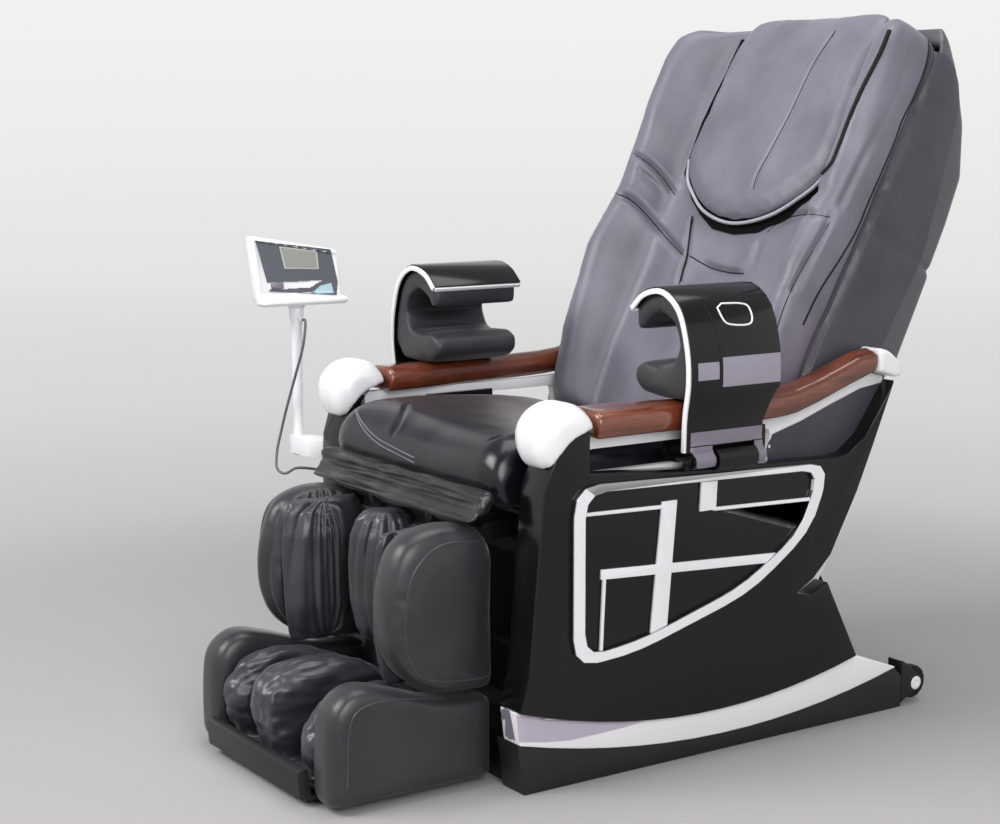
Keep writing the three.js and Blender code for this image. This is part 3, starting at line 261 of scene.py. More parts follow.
# %% [markdown]
# The hard covers are ABS. The piano black ones are painted and polished, so they are a very
# dark base with a smooth film, and what one sees on them is mostly the room. The satin ones
# keep the fine spark-eroded texture of their mould, and the white ones are plain glossy ABS.

# %% Moulded plastics


def moulded(name, deep, pale, roughness, texture, relief, coat=0.0, specular=0.5):
    material, tree, shader, where = new_finish(name, roughness, specular=specular)
    cloud = add(tree, "ShaderNodeTexNoise", {"Vector": where, "Scale": 6.0, "Detail": 3.0})
    tone = blend_colours(tree, cloud.outputs["Fac"], deep, pale)
    tree.links.new(tone.outputs["Color"], shader.inputs["Base Color"])
    vary_roughness(tree, shader, cloud.outputs["Fac"], roughness * 0.8, roughness * 1.3)
    skin = add(tree, "ShaderNodeTexNoise", {"Vector": where, "Scale": 1 / texture, "Detail": 2.0})
    embossed(tree, shader, skin.outputs["Fac"], relief, 0.4)
    shader.inputs["Coat Weight"].default_value = coat
    shader.inputs["Coat Roughness"].default_value = 0.05
    return material


piano_black = moulded("piano_black_abs", "#0A090A", "#100F10", 0.16, 0.02, 0.00002, specular=0.38)
satin_black = moulded("satin_black_abs", "#19181A", "#212022", 0.40, 0.0012, 0.0001, specular=0.4)
gloss_white = moulded("gloss_white_abs", "#E8E7EA", "#EFEEF1", 0.22, 0.02, 0.00002, coat=0.3)
# Painted shade: the white band's upper facet, drawn in a darker lilac where it turns from the light.
band_facet_shade = moulded("band_facet_painted_shade", "#B0A7B7", "#BBB3C2", 0.30, 0.02, 0.00002, coat=0.2)
mid_grey = moulded("satin_grey_abs", "#726D79", "#807B88", 0.40, 0.0012, 0.0001)
band_grey = moulded("satin_lilac_band", "#8B8693", "#9A95A3", 0.32, 0.003, 0.00004)
shell_grey = moulded("shell_grey_abs", "#4E4D52", "#5A595E", 0.36, 0.0014, 0.0001)
rubber = moulded("black_rubber", "#121212", "#1B1B1B", 0.62, 0.002, 0.00015, specular=0.3)
cable_skin = moulded("cable_grey_pvc", "#55535A", "#626067", 0.45, 0.002, 0.00005)
# Painted shadow: a black sheet that shows round the head pillow's edge.
pillow_shadow_black = moulded("pillow_painted_shadow_black", "#080808", "#121111", 0.95, 0.0015, 0.0004, specular=0.1)

# %% [markdown]
# The armrests are turned wood, stained mahogany red and lacquered. The grain runs along the
# arm, so a noise stretched ten times along Y gives the figure, and darker pores a few
# millimetres apart lie in it. The lacquer is a clear coat over all of it.

# %% Lacquered mahogany
mahogany, tree, shader, where = new_finish("lacquered_mahogany", 0.26)
stretch = add(tree, "ShaderNodeMapping", {"Vector": where, "Scale": (1.0, 0.1, 1.0)})
figure = add(tree, "ShaderNodeTexNoise", {
    "Vector": stretch.outputs["Vector"], "Scale": 38.0, "Detail": 5.0, "Distortion": 0.7})
pores = add(tree, "ShaderNodeTexNoise", {"Vector": stretch.outputs["Vector"], "Scale": 420.0, "Detail": 2.0})
stain = blend_colours(tree, figure.outputs["Fac"], "#4B1F13", "#87452C", 0.30, 0.72)
darker = add(tree, "ShaderNodeMapRange", {
    "Value": pores.outputs["Fac"], "From Min": 0.35, "From Max": 0.6, "To Min": 0.72, "To Max": 1.0})
wood_tone = multiplied(tree, stain.outputs["Color"], darker.outputs["Result"])
tree.links.new(wood_tone, shader.inputs["Base Color"])
shader.inputs["Coat Weight"].default_value = 0.9
shader.inputs["Coat Roughness"].default_value = 0.07

# %% [markdown]
# Three metals show. The window frame is satin-plated plastic, the frame inside is painted
# steel, and the screw and rods are ground and plated. Brushing stretches their gloss along Y.

# %% Metals and small parts


def metal(name, code, roughness, metallic, across):
    """across is how far apart the brushing lines lie, in metres."""
    material, tree, shader, where = new_finish(name, roughness, metallic)
    shader.inputs["Base Color"].default_value = linear(code)
    lines = add(tree, "ShaderNodeMapping", {"Vector": where, "Scale": (1.0, 0.06, 1.0)})
    brushed = add(tree, "ShaderNodeTexNoise", {
        "Vector": lines.outputs["Vector"], "Scale": 1 / across, "Detail": 2.0})
    vary_roughness(tree, shader, brushed.outputs["Fac"], roughness - 0.06, roughness + 0.10)
    return material


silver = metal("satin_silver_plating", "#B4B3B7", 0.26, 1.0, 0.004)
painted_steel = metal("painted_steel", "#3A3C40", 0.48, 0.0, 0.003)
plated_steel = metal("plated_steel", "#B9BABC", 0.22, 1.0, 0.002)
face_glass = moulded("handset_face_plate", "#4E515A", "#5A5D66", 0.16, 0.02, 0.00001, coat=0.4)
lcd = moulded("lcd_window", "#8C8F89", "#999C95", 0.24, 0.02, 0.00001, coat=0.3)
lcd_frame = moulded("lcd_frame", "#B9B9B4", "#C4C4BF", 0.30, 0.02, 0.00001)
pale_blue = moulded("handset_lower_lens", "#A9C7D6", "#BBD5E0", 0.25, 0.02, 0.00001, coat=0.3)
piping_pale = synthetic_leather("pale_piping", "#A39FAC", "#B2AEBA", 0.38)
# Painted shade: nearly black cords that stand for the shadow in seams, tucks and the pillow's gap.
shade_cord = synthetic_leather("painted_shade_cord", "#0B0A0C", "#131215", 0.60, specular=0.2)
piping_leg = synthetic_leather("legrest_piping", "#363539", "#424146", 0.34)
thread = moulded("polyester_thread", "#6B6772", "#78747F", 0.6, 0.001, 0.0001)

# %% [markdown]
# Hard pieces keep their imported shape. Real mouldings have no knife edges, so a copy of the
# node gets a small rounded bevel, which catches a line of light, and smooth shading between.

# %% Helpers for hard pieces


def settle(piece):
    """Replaces a piece's mesh by what its modifiers make of it."""
    bpy.context.view_layer.update()
    seen = piece.evaluated_get(bpy.context.evaluated_depsgraph_get())
    mesh = bpy.data.meshes.new_from_object(seen)
    mesh.name = piece.name
    piece.modifiers.clear()
    old, piece.data = piece.data, mesh
    if old.users == 0 and isinstance(old, bpy.types.Mesh):
        bpy.data.meshes.remove(old)
    return piece


def dress(piece, material, body, slot, *nodes):
    """Gives a finished piece its material, the body it moves with and the nodes it covers."""
    piece.data.materials.clear()
    piece.data.materials.append(material)
    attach(piece, body)
    if nodes:
        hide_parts(*nodes)
    return piece


def new_piece(name, mesh):
    piece = bpy.data.objects.new(name, mesh)
    bpy.context.scene.collection.objects.link(piece)
    return piece


def copy_of(node, name):
    """A node's mesh with its loose triangles merged, as a new piece."""
    made = bmesh.new()
    made.from_mesh(frame["nodes"][node].data)
    bmesh.ops.remove_doubles(made, verts=made.verts, dist=2e-5)
    bmesh.ops.dissolve_degenerate(made, edges=made.edges, dist=1e-5)
    mesh = bpy.data.meshes.new(name)
    made.to_mesh(mesh)
    made.free()
    mesh.materials.clear()
    return new_piece(name, mesh)


def solid(name, spots, faces, edge=0.0):
    """A closed piece from points and faces, turned outward, with its edges rounded by edge."""
    made = bmesh.new()
    mesh = bpy.data.meshes.new(name)
    mesh.from_pydata(spots, [], faces)
    made.from_mesh(mesh)
    bmesh.ops.remove_doubles(made, verts=made.verts, dist=1e-6)
    bmesh.ops.recalc_face_normals(made, faces=made.faces)
    made.to_mesh(mesh)
    made.free()
    piece = new_piece(name, mesh)
    if edge:
        soft = piece.modifiers.new("edge", "BEVEL")
        soft.width, soft.segments, soft.limit_method = edge, 2, "ANGLE"
        settle(piece)
    smooth_within(piece, 40)
    return piece


def smooth_within(piece, degrees):
    for polygon in piece.data.polygons:
        polygon.use_smooth = True
    piece.data.set_sharp_from_angle(angle=math.radians(degrees))


def edged(node, name, width, material, body, slot, corner=34):
    """A node with its sharp edges rounded by a bevel."""
    piece = copy_of(node, name)
    made = bmesh.new()
    made.from_mesh(piece.data)
    bmesh.ops.dissolve_limit(made, angle_limit=math.radians(1.0), verts=made.verts, edges=made.edges)
    made.to_mesh(piece.data)
    made.free()
    bevel = piece.modifiers.new("edge", "BEVEL")
    bevel.width = width
    bevel.segments = 3
    bevel.limit_method = "ANGLE"
    bevel.angle_limit = math.radians(corner)
    bevel.use_clamp_overlap = True
    settle(piece)
    smooth_within(piece, 40)
    return dress(piece, material, body, slot, node)


# %% [markdown]
# Upholstered and blow-moulded forms start from the node too. A voxel remesh gives an even
# skin of small squares, and a few passes of smoothing take away the facets. Cloth with a
# little pressure then swells it as foam swells its cover, and one subdivision makes the skin
# fine enough for seams. Seams and creases come last, because remeshing would close them.

# %% Helpers for soft pieces


def calmed(piece, passes):
    """Smooths a piece and keeps the result as its mesh."""
    calm = piece.modifiers.new("calm", "SMOOTH")
    calm.factor = 0.5
    calm.iterations = passes
    settle(piece)
    smooth_within(piece, 180)
    return piece


def softened(node, name, voxel, passes):
    """A node's form in an even skin of squares, its facets smoothed away."""
    piece = copy_of(node, name)
    remesh = piece.modifiers.new("skin", "REMESH")
    remesh.mode = "VOXEL"
    remesh.voxel_size = voxel
    remesh.use_smooth_shade = True
    return calmed(settle(piece), passes)


def refined(piece):
    """One subdivision, for a skin that takes fine creases."""
    finer = piece.modifiers.new("finer", "SUBSURF")
    finer.levels = finer.render_levels = 1
    settle(piece)
    smooth_within(piece, 180)
    return piece


def places(piece):
    spots = np.zeros(len(piece.data.vertices) * 3, np.float32)
    piece.data.vertices.foreach_get("co", spots)
    return spots.reshape(-1, 3).astype(float)


def normals(piece):
    found = np.zeros(len(piece.data.vertices) * 3, np.float32)
    piece.data.vertex_normals.foreach_get("vector", found)
    return found.reshape(-1, 3).astype(float)


def move_to(piece, spots):
    piece.data.vertices.foreach_set("co", np.asarray(spots, np.float32).ravel())
    piece.data.update()


CALM_AFTER_CLOTH = 12  # passes, which take the cloth's fine ripples out again


def puffed(piece, pressure, cap, frames=16):
    """Swells a piece with cloth under pressure, no point moving further than cap."""
    before = places(piece)
    cloth = piece.modifiers.new("foam", "CLOTH")
    cloth.settings.use_pressure = True
    cloth.settings.uniform_pressure_force = pressure
    cloth.settings.quality = 5
    cloth.settings.tension_stiffness = 12
    cloth.settings.compression_stiffness = 12
    cloth.settings.bending_stiffness = 2
    cloth.settings.effector_weights.gravity = 0
    scene = bpy.context.scene
    cloth.point_cache.frame_start = 1
    cloth.point_cache.frame_end = frames
    for step in range(1, frames + 1):
        scene.frame_set(step)
    settle(piece)
    scene.frame_set(1)
    change = places(piece) - before
    length = np.linalg.norm(change, axis=1, keepdims=True)
    move_to(piece, before + change * np.minimum(1, cap / np.maximum(length, 1e-9)))
    return calmed(piece, CALM_AFTER_CLOTH)


def rise(values, start, span):
    """0 up to start, growing to 1 over span."""
    return np.clip((values - start) / span, 0, 1)


def along_line(spots, line):
    """Each spot's distance to a line of points, and how far along the line it is nearest."""
    best = np.full(len(spots), np.inf)
    share = np.zeros(len(spots))
    pieces = [(np.array(a, float), np.array(b, float)) for a, b in zip(line, line[1:])]
    total = sum(np.linalg.norm(b - a) for a, b in pieces)
    gone = 0.0
    for a, b in pieces:
        way = b - a
        size = max(np.linalg.norm(way), 1e-9)
        t = np.clip(((spots - a) @ way) / size**2, 0, 1)
        away = np.linalg.norm(spots - a - t[:, None] * way, axis=1)
        near = away < best
        best[near] = away[near]
        share[near] = (gone + t[near] * size) / total
        gone += size
    return best, share


def creased(piece, lines, mask=1.0):
    """Presses lines in or out: each is (points, depth, width, fade), in metres."""
    spots, out = places(piece), normals(piece)
    shift = np.zeros(len(spots))
    for line, depth, width, fade in lines:
        if len(line) < 2:
            continue
        away, share = along_line(spots, line)
        ends = np.clip(np.minimum(share, 1 - share) / fade, 0, 1)
        shift += depth * np.exp(-((away / width) ** 2)) * ends
    move_to(piece, spots + out * (shift * mask)[:, None])
    return piece


def wrinkled(piece, scale, height, stretch, seed, mask=1.0):
    """Small uneven folds, longer along one way than across it."""
    spots, out = places(piece), normals(piece)
    shift = np.array([
        noise.fractal(Vector(p * stretch / scale) + Vector((seed, 0, 0)), 0.7, 2.0, 3) for p in spots])
    move_to(piece, spots + out * (np.clip(shift, -1, 1) * height * mask)[:, None])
    return piece


# %% [markdown]
# Seams, piping and thin covers are laid on a piece by rays. A ray may come from the camera
# through a pixel of the photograph, or from anywhere else where the photograph doesn't reach.

# %% Helpers that lay things on a surface


def skin_of(*pieces):
    """One ray-cast tree over the given pieces."""
    spots, faces = [], []
    for piece in pieces:
        start = len(spots)
        spots += [v.co.copy() for v in piece.data.vertices]
        faces += [[start + i for i in p.vertices] for p in piece.data.polygons]
    return BVHTree.FromPolygons(spots, faces)


def hit(skin, start, way):
    """Where a ray meets a surface, and the surface's normal there."""
    spot, out, _, _ = skin.ray_cast(start, way)
    return None if spot is None else (spot, out)


def by_sight(skin):
    """A landing rule: a pixel of the photograph gives the spot seen there."""
    return lambda u, v: hit(skin, camera.location, sight(u, v))


def landed(land, points, steps=5, lift=0.0):
    """A smooth line through 2-D points, landed on a surface and lifted off it."""
    found = [land(p.x, p.y) for p in through([(u, v, 0) for u, v in points], steps)]
    return [spot + out * lift for spot, out in (f for f in found if f)]


def other_side(line):
    return [Vector((-p.x, p.y, p.z)) for p in line]


def within(u, v, outline):
    inside = False
    for (a, b), (c, d) in zip(outline, outline[1:] + outline[:1]):
        if (b > v) != (d > v) and u < (c - a) * (v - b) / (d - b) + a:
            inside = not inside
    return inside


def cover(name, outline, step, land, lift, thickness, material, body, slot, mirror=False):
    """A thin cover cut to a 2-D outline and landed on a surface, step apart."""
    edge = []
    for (a, b), (c, d) in zip(outline, outline[1:] + outline[:1]):
        parts = max(1, round(math.hypot(c - a, d - b) / step))
        edge += [(a + (c - a) * i / parts, b + (d - b) * i / parts) for i in range(parts)]
    us, vs = [p[0] for p in edge], [p[1] for p in edge]
    grid = [
        (u, v)
        for u in np.arange(min(us) + step / 2, max(us), step)
        for v in np.arange(min(vs) + step / 2, max(vs), step)
        if within(u, v, outline) and min(math.hypot(u - a, v - b) for a, b in edge) > 0.45 * step]
    flat = [Vector(p) for p in edge + grid]
    ring = [(i, (i + 1) % len(edge)) for i in range(len(edge))]
    points, _, faces, *_ = delaunay_2d_cdt(flat, ring, [], 1, 1e-6)
    found = [land(p.x, p.y) for p in points]
    keep = [i for i, f in enumerate(found) if f]
    index = {old: new for new, old in enumerate(keep)}
    faces = [[index[i] for i in f] for f in faces if all(i in index for i in f)]
    spots = [found[i][0] + found[i][1] * lift for i in keep]
    outs = [found[i][1] for i in keep]
    turned = []
    for f in faces:
        a, b, c = (spots[i] for i in f[:3])
        facing = (b - a).cross(c - a).dot(outs[f[0]]) > 0
        turned.append(f if facing else f[::-1])
    if mirror:
        spots = other_side(spots)
        turned = [f[::-1] for f in turned]
    mesh = bpy.data.meshes.new(name)
    mesh.from_pydata(spots, [], turned)
    piece = new_piece(name, mesh)
    wall = piece.modifiers.new("thickness", "SOLIDIFY")
    wall.thickness = thickness
    wall.offset = 1
    settle(piece)
    smooth_within(piece, 50)
    return dress(piece, material, body, slot)


# %% [markdown]
# Piping is a cord sewn in a strip of cover, and a seam pulled tight looks much the same from
# here. Both follow a path, which is what Geometry Nodes are good at, so one small tree sweeps
# a round cord along a line of points. The seams are the same cord, thinner and nearly black:
# painted shade, standing for the shadow in a seam, a tuck and the pillow's gap.

# %% Tree for piping


def piping_tree():
    tree = bpy.data.node_groups.new("piping", "GeometryNodeTree")
    face = tree.interface
    face.new_socket("Geometry", in_out="INPUT", socket_type="NodeSocketGeometry")
    face.new_socket("Radius", in_out="INPUT", socket_type="NodeSocketFloat")
    face.new_socket("Material", in_out="INPUT", socket_type="NodeSocketMaterial")
    face.new_socket("Geometry", in_out="OUTPUT", socket_type="NodeSocketGeometry")
    given = add(tree, "NodeGroupInput").outputs
    line = add(tree, "GeometryNodeMeshToCurve", {"Mesh": given["Geometry"]})
    section = add(tree, "GeometryNodeCurvePrimitiveCircle", {"Resolution": 10, "Radius": given["Radius"]})
    swept = add(tree, "GeometryNodeCurveToMesh", {
        "Curve": line.outputs[0], "Profile Curve": section.outputs[0], "Fill Caps": True})
    smooth = add(tree, "GeometryNodeSetShadeSmooth", {"Geometry": swept.outputs[0]})
    painted = add(tree, "GeometryNodeSetMaterial", {
        "Geometry": smooth.outputs[0], "Material": given["Material"]})
    real = add(tree, "GeometryNodeRealizeInstances", {"Geometry": painted.outputs[0]})
    add(tree, "NodeGroupOutput", {"Geometry": real.outputs[0]})
    return tree


PIPING = piping_tree()
print("nodes in the piping tree", len(PIPING.nodes))


def piped(name, points, radius, material, body, slot, closed=False):
    """Sweeps a cord along a line of points and keeps it as a plain mesh."""
    mesh = bpy.data.meshes.new(name)
    edges = [(i, i + 1) for i in range(len(points) - 1)]
    if closed:
        edges.append((len(points) - 1, 0))
    mesh.from_pydata([tuple(p) for p in points], edges, [])
    piece = new_piece(name, mesh)
    modifier = piece.modifiers.new("piping", "NODES")
    modifier.node_group = PIPING
    inputs = {"Radius": radius, "Material": material}
    for item in PIPING.interface.items_tree:
        if item.in_out == "INPUT" and item.name in inputs:
            modifier[item.identifier] = inputs[item.name]
    settle(piece)
    return dress(piece, material, body, slot)


# %% [markdown]
# The base is a black skirt with a long white band that sweeps up at both ends, and wide black
# side bodies above it. They only need their edges rounded and their finishes.

# %% Base and side bodies
hard = [
    ("base_skirt", 0.0020, satin_black, "black_satin"),
    ("sweep_band_L", 0.0030, gloss_white, "white_gloss"),
    ("sweep_band_R", 0.0030, gloss_white, "white_gloss"),
    ("rear_cover", 0.0012, satin_black, "black_satin"),
    ("side_panel_L", 0.0035, piano_black, "black_gloss"),
    ("side_panel_R", 0.0035, piano_black, "black_gloss"),
    ("side_shell_L", 0.0025, gloss_white, "white_gloss"),
    ("side_shell_R", 0.0025, gloss_white, "white_gloss"),
    ("window_trim_L", 0.0018, silver, "silver_trim"),
    ("window_trim_R", 0.0018, silver, "silver_trim"),
    ("air_pump", 0.0020, satin_black, "black_satin"),
    ("control_box", 0.0015, mid_grey, "grey_plastic"),
    ("wheel_bracket_L", 0.0012, satin_black, "black_satin"),
    ("wheel_bracket_R", 0.0012, satin_black, "black_satin"),
    ("remote_pole", 0.0012, gloss_white, "white_gloss"),
    ("foot_tray", 0.0015, satin_black, "black_satin"),
    ("power_inlet", 0.0006, satin_black, "black_satin"),
    ("power_rocker", 0.0006, satin_black, "black_satin"),
    ("cable_boot", 0.0006, rubber, "cable_rubber"),
    ("handset_key", 0.0008, mid_grey, "grey_plastic"),
]
SIDES = (("L", 1), ("R", -1))  # the sitter's left lies along +X
body_of = {n: body for body, nodes in frame["record"]["behaviour"]["bodies"].items() for n in nodes}
covers = {
    node: edged(node, "cover_" + node, width, material, body_of[node], slot)
    for node, width, material, slot in hard}
cable.data.materials.clear()
cable.data.materials.append(cable_skin)
[tuple(p) for p in cable_line]
print("hard covers", len(covers))

# %% [markdown]
# The window in each side is closed by a white lattice inside a silver ring. They are one
# moulding on the pack's side, so the faces within 23.5 mm of the outline are kept as the ring
# and the rest becomes the lattice. A pale lilac facet on the front of each band is painted
# shade, where the white band's upper face turns from the light. A dark cheek covers the white
# shell where it shows under the armrest: painted shade, in the darker gusset leather.

# %% Window lattice, facets and cheeks


def outline_of(points):
    """The convex outline of 2-D points."""
    points = sorted(set(points))

    def half(run):
        kept = []
        for p in run:
            while len(kept) > 1:
                (a, b), (c, d) = kept[-2], kept[-1]
                if (c - a) * (p[1] - b) - (d - b) * (p[0] - a) > 0:
                    break
                kept.pop()
            kept.append(p)
        return kept[:-1]

    return half(points) + half(points[::-1])


def keep_faces(piece, wanted):
    made = bmesh.new()
    made.from_mesh(piece.data)
    made.faces.ensure_lookup_table()
    bmesh.ops.delete(made, geom=[f for f in made.faces if not wanted[f.index]], context="FACES")
    made.to_mesh(piece.data)
    made.free()


RING_WIDTH = 0.0235
for side in "LR":
    ring = covers["window_trim_" + side]
    edge = outline_of([(round(v.co.y, 5), round(v.co.z, 5)) for v in ring.data.vertices])
    edge = [(p[0], p[1], 0) for p in edge + edge[:1]]
    middles = np.array([(f.center.y, f.center.z, 0) for f in ring.data.polygons])
    outer = along_line(middles, edge)[0] < RING_WIDTH
    lattice = new_piece("window_lattice_" + side, ring.data.copy())
    keep_faces(lattice, ~outer)
    keep_faces(ring, outer)
    dress(lattice, gloss_white, "base", "white_gloss")
    print("window", side, "ring faces", len(ring.data.polygons), "lattice faces", len(lattice.data.polygons))

on_band = by_sight(skin_of(covers["sweep_band_L"]))
facet = [
    (516, 711), (551.6, 717), (583.7, 720.4), (610.5, 721.7), (644, 721), (624, 727),
    (602.5, 732.4), (570.4, 739.8), (547.6, 741.8), (519.5, 742)]
nose = [(500, 705), (510, 711), (516, 744.5), (496, 735)]
# The lilac facet is painted shade, a darker patch where the white band's upper face turns from the light.
for side, sign in SIDES:
    for name, shape, material in (("band_facet_", facet, band_facet_shade), ("band_nose_", nose, mid_grey)):
        cover(name + side, shape, 4, on_band, 0.0006, 0.0008, material, "base", "grey_plastic", sign < 0)

on_shell = by_sight(skin_of(covers["side_shell_L"]))
cheek = [
    (772, 434), (800, 421), (830, 404), (860, 388), (892, 379), (890, 384), (876, 420), (866, 445),
    (858, 470), (835, 470), (800, 466), (768, 466), (766, 450)]
# The cheek is painted shade: a dark leather sheet over the white shell where the armrest shades it.
for side, sign in SIDES:
    cover(
        "side_cheek_" + side, cheek, 4, on_shell, 0.0010, 0.0008, side_shade_hide, "base", "leg_leather",
        mirror=sign < 0)

# %% [markdown]
# The steel inside shows only through gaps and in the views from below and behind. Those
# nodes stay as they are, with paint or plating, and so do the wheels and the rollers. Each
# wheel gets a pale turned hub on its outer face.

# %% Steel and running parts
plain = {
    "chassis": painted_steel, "back_frame": painted_steel, "leg_frame": painted_steel,
    "back_actuator": painted_steel, "leg_actuator": painted_steel,
    "back_actuator_rod": plated_steel, "leg_actuator_rod": plated_steel, "lead_screw": plated_steel,
    "massage_carriage": mid_grey, "roller_pair_lower": gloss_white, "roller_pair_upper": gloss_white,
    "wheel_L": rubber, "wheel_R": rubber, "cuff_slider_L": piano_black, "cuff_slider_R": piano_black,
}
for node, material in plain.items():
    mesh = frame["nodes"][node].data
    mesh.materials.clear()
    mesh.materials.append(material)
print("bare nodes", len(plain))

ROUND = 32  # points round a hub
HUB_RINGS = [
    (0.0120, -0.0005), (0.0120, 0.0012), (0.0095, 0.0022), (0.0050, 0.0024), (0.0038, 0.0012), (0.0, 0.0010)]
for side, sign in SIDES:
    low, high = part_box("wheel_" + side)
    centre = (low + high) / 2
    face = high.x if sign > 0 else low.x
    spots = [
        (face + sign * proud, centre.y + reach * math.cos(turn), centre.z + reach * math.sin(turn))
        for reach, proud in HUB_RINGS for turn in (math.tau * i / ROUND for i in range(ROUND))]
    faces = [
        (start + i, start + (i + 1) % ROUND, start + ROUND + (i + 1) % ROUND, start + ROUND + i)
        for start in range(0, ROUND * (len(HUB_RINGS) - 1), ROUND) for i in range(ROUND)]
    hub = solid("wheel_hub_" + side, spots, faces)
    dress(hub, gloss_white, body_of["wheel_" + side], "white_gloss")

# %% [markdown]
# The arm ends are white balls, the rear caps are smaller wedges, and the wood between them is
# turned to a soft oval. Each is smoothed from its node.

# %% Armrests
for side in "LR":
    cap = softened("front_cap_" + side, "arm_ball_" + side, 0.0035, 18)
    dress(cap, gloss_white, "base", "white_gloss", "front_cap_" + side)
    rear = softened("rear_cap_" + side, "arm_wedge_" + side, 0.0020, 8)
    dress(rear, gloss_white, "base", "white_gloss", "rear_cap_" + side)
    rail = softened("arm_wood_" + side, "arm_rail_" + side, 0.0035, 8)
    dress(rail, mahogany, "base", "armrest_wood", "arm_wood_" + side)
    print("armrest", side, "faces", len(rail.data.polygons))

# %% [markdown]
# The back stands in its own leaning frame. Points on it are given as x across, t out of the
# rear and s up the back from the recline shaft, and one function turns them into the chair's
# frame. The two landing rules look at a piece from the sitter's side and from beside it.

# %% The back's own frame
RECLINE = Vector((0, 0.170, 0.400))
LEAN = math.radians(28)
UP_BACK = Vector((0, math.sin(LEAN), math.cos(LEAN)))
OUT_REAR = Vector((0, math.cos(LEAN), -math.sin(LEAN)))


def on_back(x, t, s):
    return RECLINE + Vector((x, 0, 0)) + OUT_REAR * t + UP_BACK * s


def up_the_back(piece):
    """How far up the back each vertex of a piece lies."""
    return (places(piece) - np.array(RECLINE)) @ np.array(UP_BACK)


def facing_sitter(piece, least, span):
    """1 where a piece faces the sitter, falling to 0 where its normal turns aside."""
    return rise(-normals(piece) @ np.array(OUT_REAR), least, span)


def from_front(skin):
    """A landing rule: x across and s up the back, seen square from the sitter's side."""
    return lambda x, s: hit(skin, on_back(x, -0.5, s), OUT_REAR)


def from_side(skin, sign, back_frame=False):
    """A landing rule from beside the chair: y and z, or s and t in the back's frame."""
    def land(a, b):
        start = on_back(sign * 0.7, b, a) if back_frame else Vector((sign * 0.7, a, b))
        return hit(skin, start, Vector((-sign, 0, 0)))
    return land


# %% [markdown]
# The back cover is one soft pad between side bolsters. The photograph shows two deep folds
# that run from under the pillow's corners to a short upright seam, with a cross crease below
# it, and a long fold down the near bolster. Each was read off in pixels, dropped onto the pad
# and pressed in as a valley between two low lips, as a pulled cover makes.

# %% Back pad
back_cover = softened("back_pad", "back_cover", 0.0085, 8)
puffed(back_cover, 2.0, 0.006)
refined(back_cover)
spots, height = places(back_cover), up_the_back(back_cover)
HORN_DROP = 0.014  # the pad's upper corners stand lower than its middle
horn = rise(height, 0.76, 0.08) * rise(np.abs(spots[:, 0]), 0.16, 0.06)
move_to(back_cover, spots - (horn * HORN_DROP)[:, None] * np.array(UP_BACK))
on_pad = by_sight(skin_of(back_cover))

UPRIGHT = [(692, 216), (686.3, 259), (683, 270), (679.6, 284)]
PANEL = [(830, 222), (814.8, 246.8), (790, 292.7)]
TUCK_UPPER = [(632.7, 153), (646, 161.7), (661.4, 176), (674.8, 195)]
TUCK_LOWER = [(615.5, 193.2), (628.9, 199), (642.3, 210.5), (657.6, 227.7), (671, 243), (684.4, 256.4)]
TUCK_CROSS = [(700, 262), (711.5, 268), (728.7, 272.6), (744, 273.6)]
TUCK_NEAR = [(830, 217), (809, 214.3), (788, 218), (774.6, 225.7), (767, 232.4)]
GUSSET_SEAM = [
    (928, 29), (927.7, 57.4), (916, 91.8), (902.8, 118.6), (893, 145), (868, 202.8),
    (856.9, 229.6), (841.6, 256.4), (818.6, 292.7), (803, 325)]
PILLOW_GAP = [
    (889.4, 30.6), (881.7, 49.7), (860.7, 91.8), (849.2, 118.6), (837.7, 149.2), (832, 162.6), (822.4, 174)]


def fold(land, points, depth, width, fade=0.2, lip=0.35):
    """A valley along a line of pixels, with a low lip on either side."""
    line = landed(land, points)
    return [(line, -depth, width, fade), (line, depth * lip, width * 3, fade)]


front = facing_sitter(back_cover, 0.05, 0.35)
lines = []
for points, depth, width, fade in [
    (TUCK_UPPER, 0.011, 0.0065, 0.10),
    ([(636.5, 168.4), (655.7, 183.7), (667, 195)], 0.006, 0.009, 0.25),
    (TUCK_LOWER, 0.016, 0.008, 0.08),
    (UPRIGHT, 0.011, 0.006, 0.05),
    (TUCK_CROSS, 0.011, 0.008, 0.2),
    ([(841.6, 179.8), (830, 183.7), (814.8, 193.2), (784, 207.6)], 0.007, 0.011, 0.25),
    (TUCK_NEAR, 0.010, 0.009, 0.15),
    ([(761, 235), (753.6, 258), (751.7, 271.7)], 0.006, 0.010, 0.25),
    (PANEL, 0.006, 0.006, 0.05),
    ([(834, 208.5), (807, 271.7), (795.7, 294.6)], 0.005, 0.006, 0.1),
    ([(918, 27), (908.5, 63), (895, 99.5), (878, 134), (858.8, 168.4), (837.7, 210)], 0.006, 0.007, 0.05),
]:
    lines += fold(on_pad, points, depth, width, fade)
creased(back_cover, lines, front)
wrinkled(back_cover, 0.15, 0.0035, np.array([1.0, 0.55, 0.55]), 3.0, front)
dress(back_cover, back_hide, "backrest", "back_leather", "back_pad")
on_pad = by_sight(skin_of(back_cover))
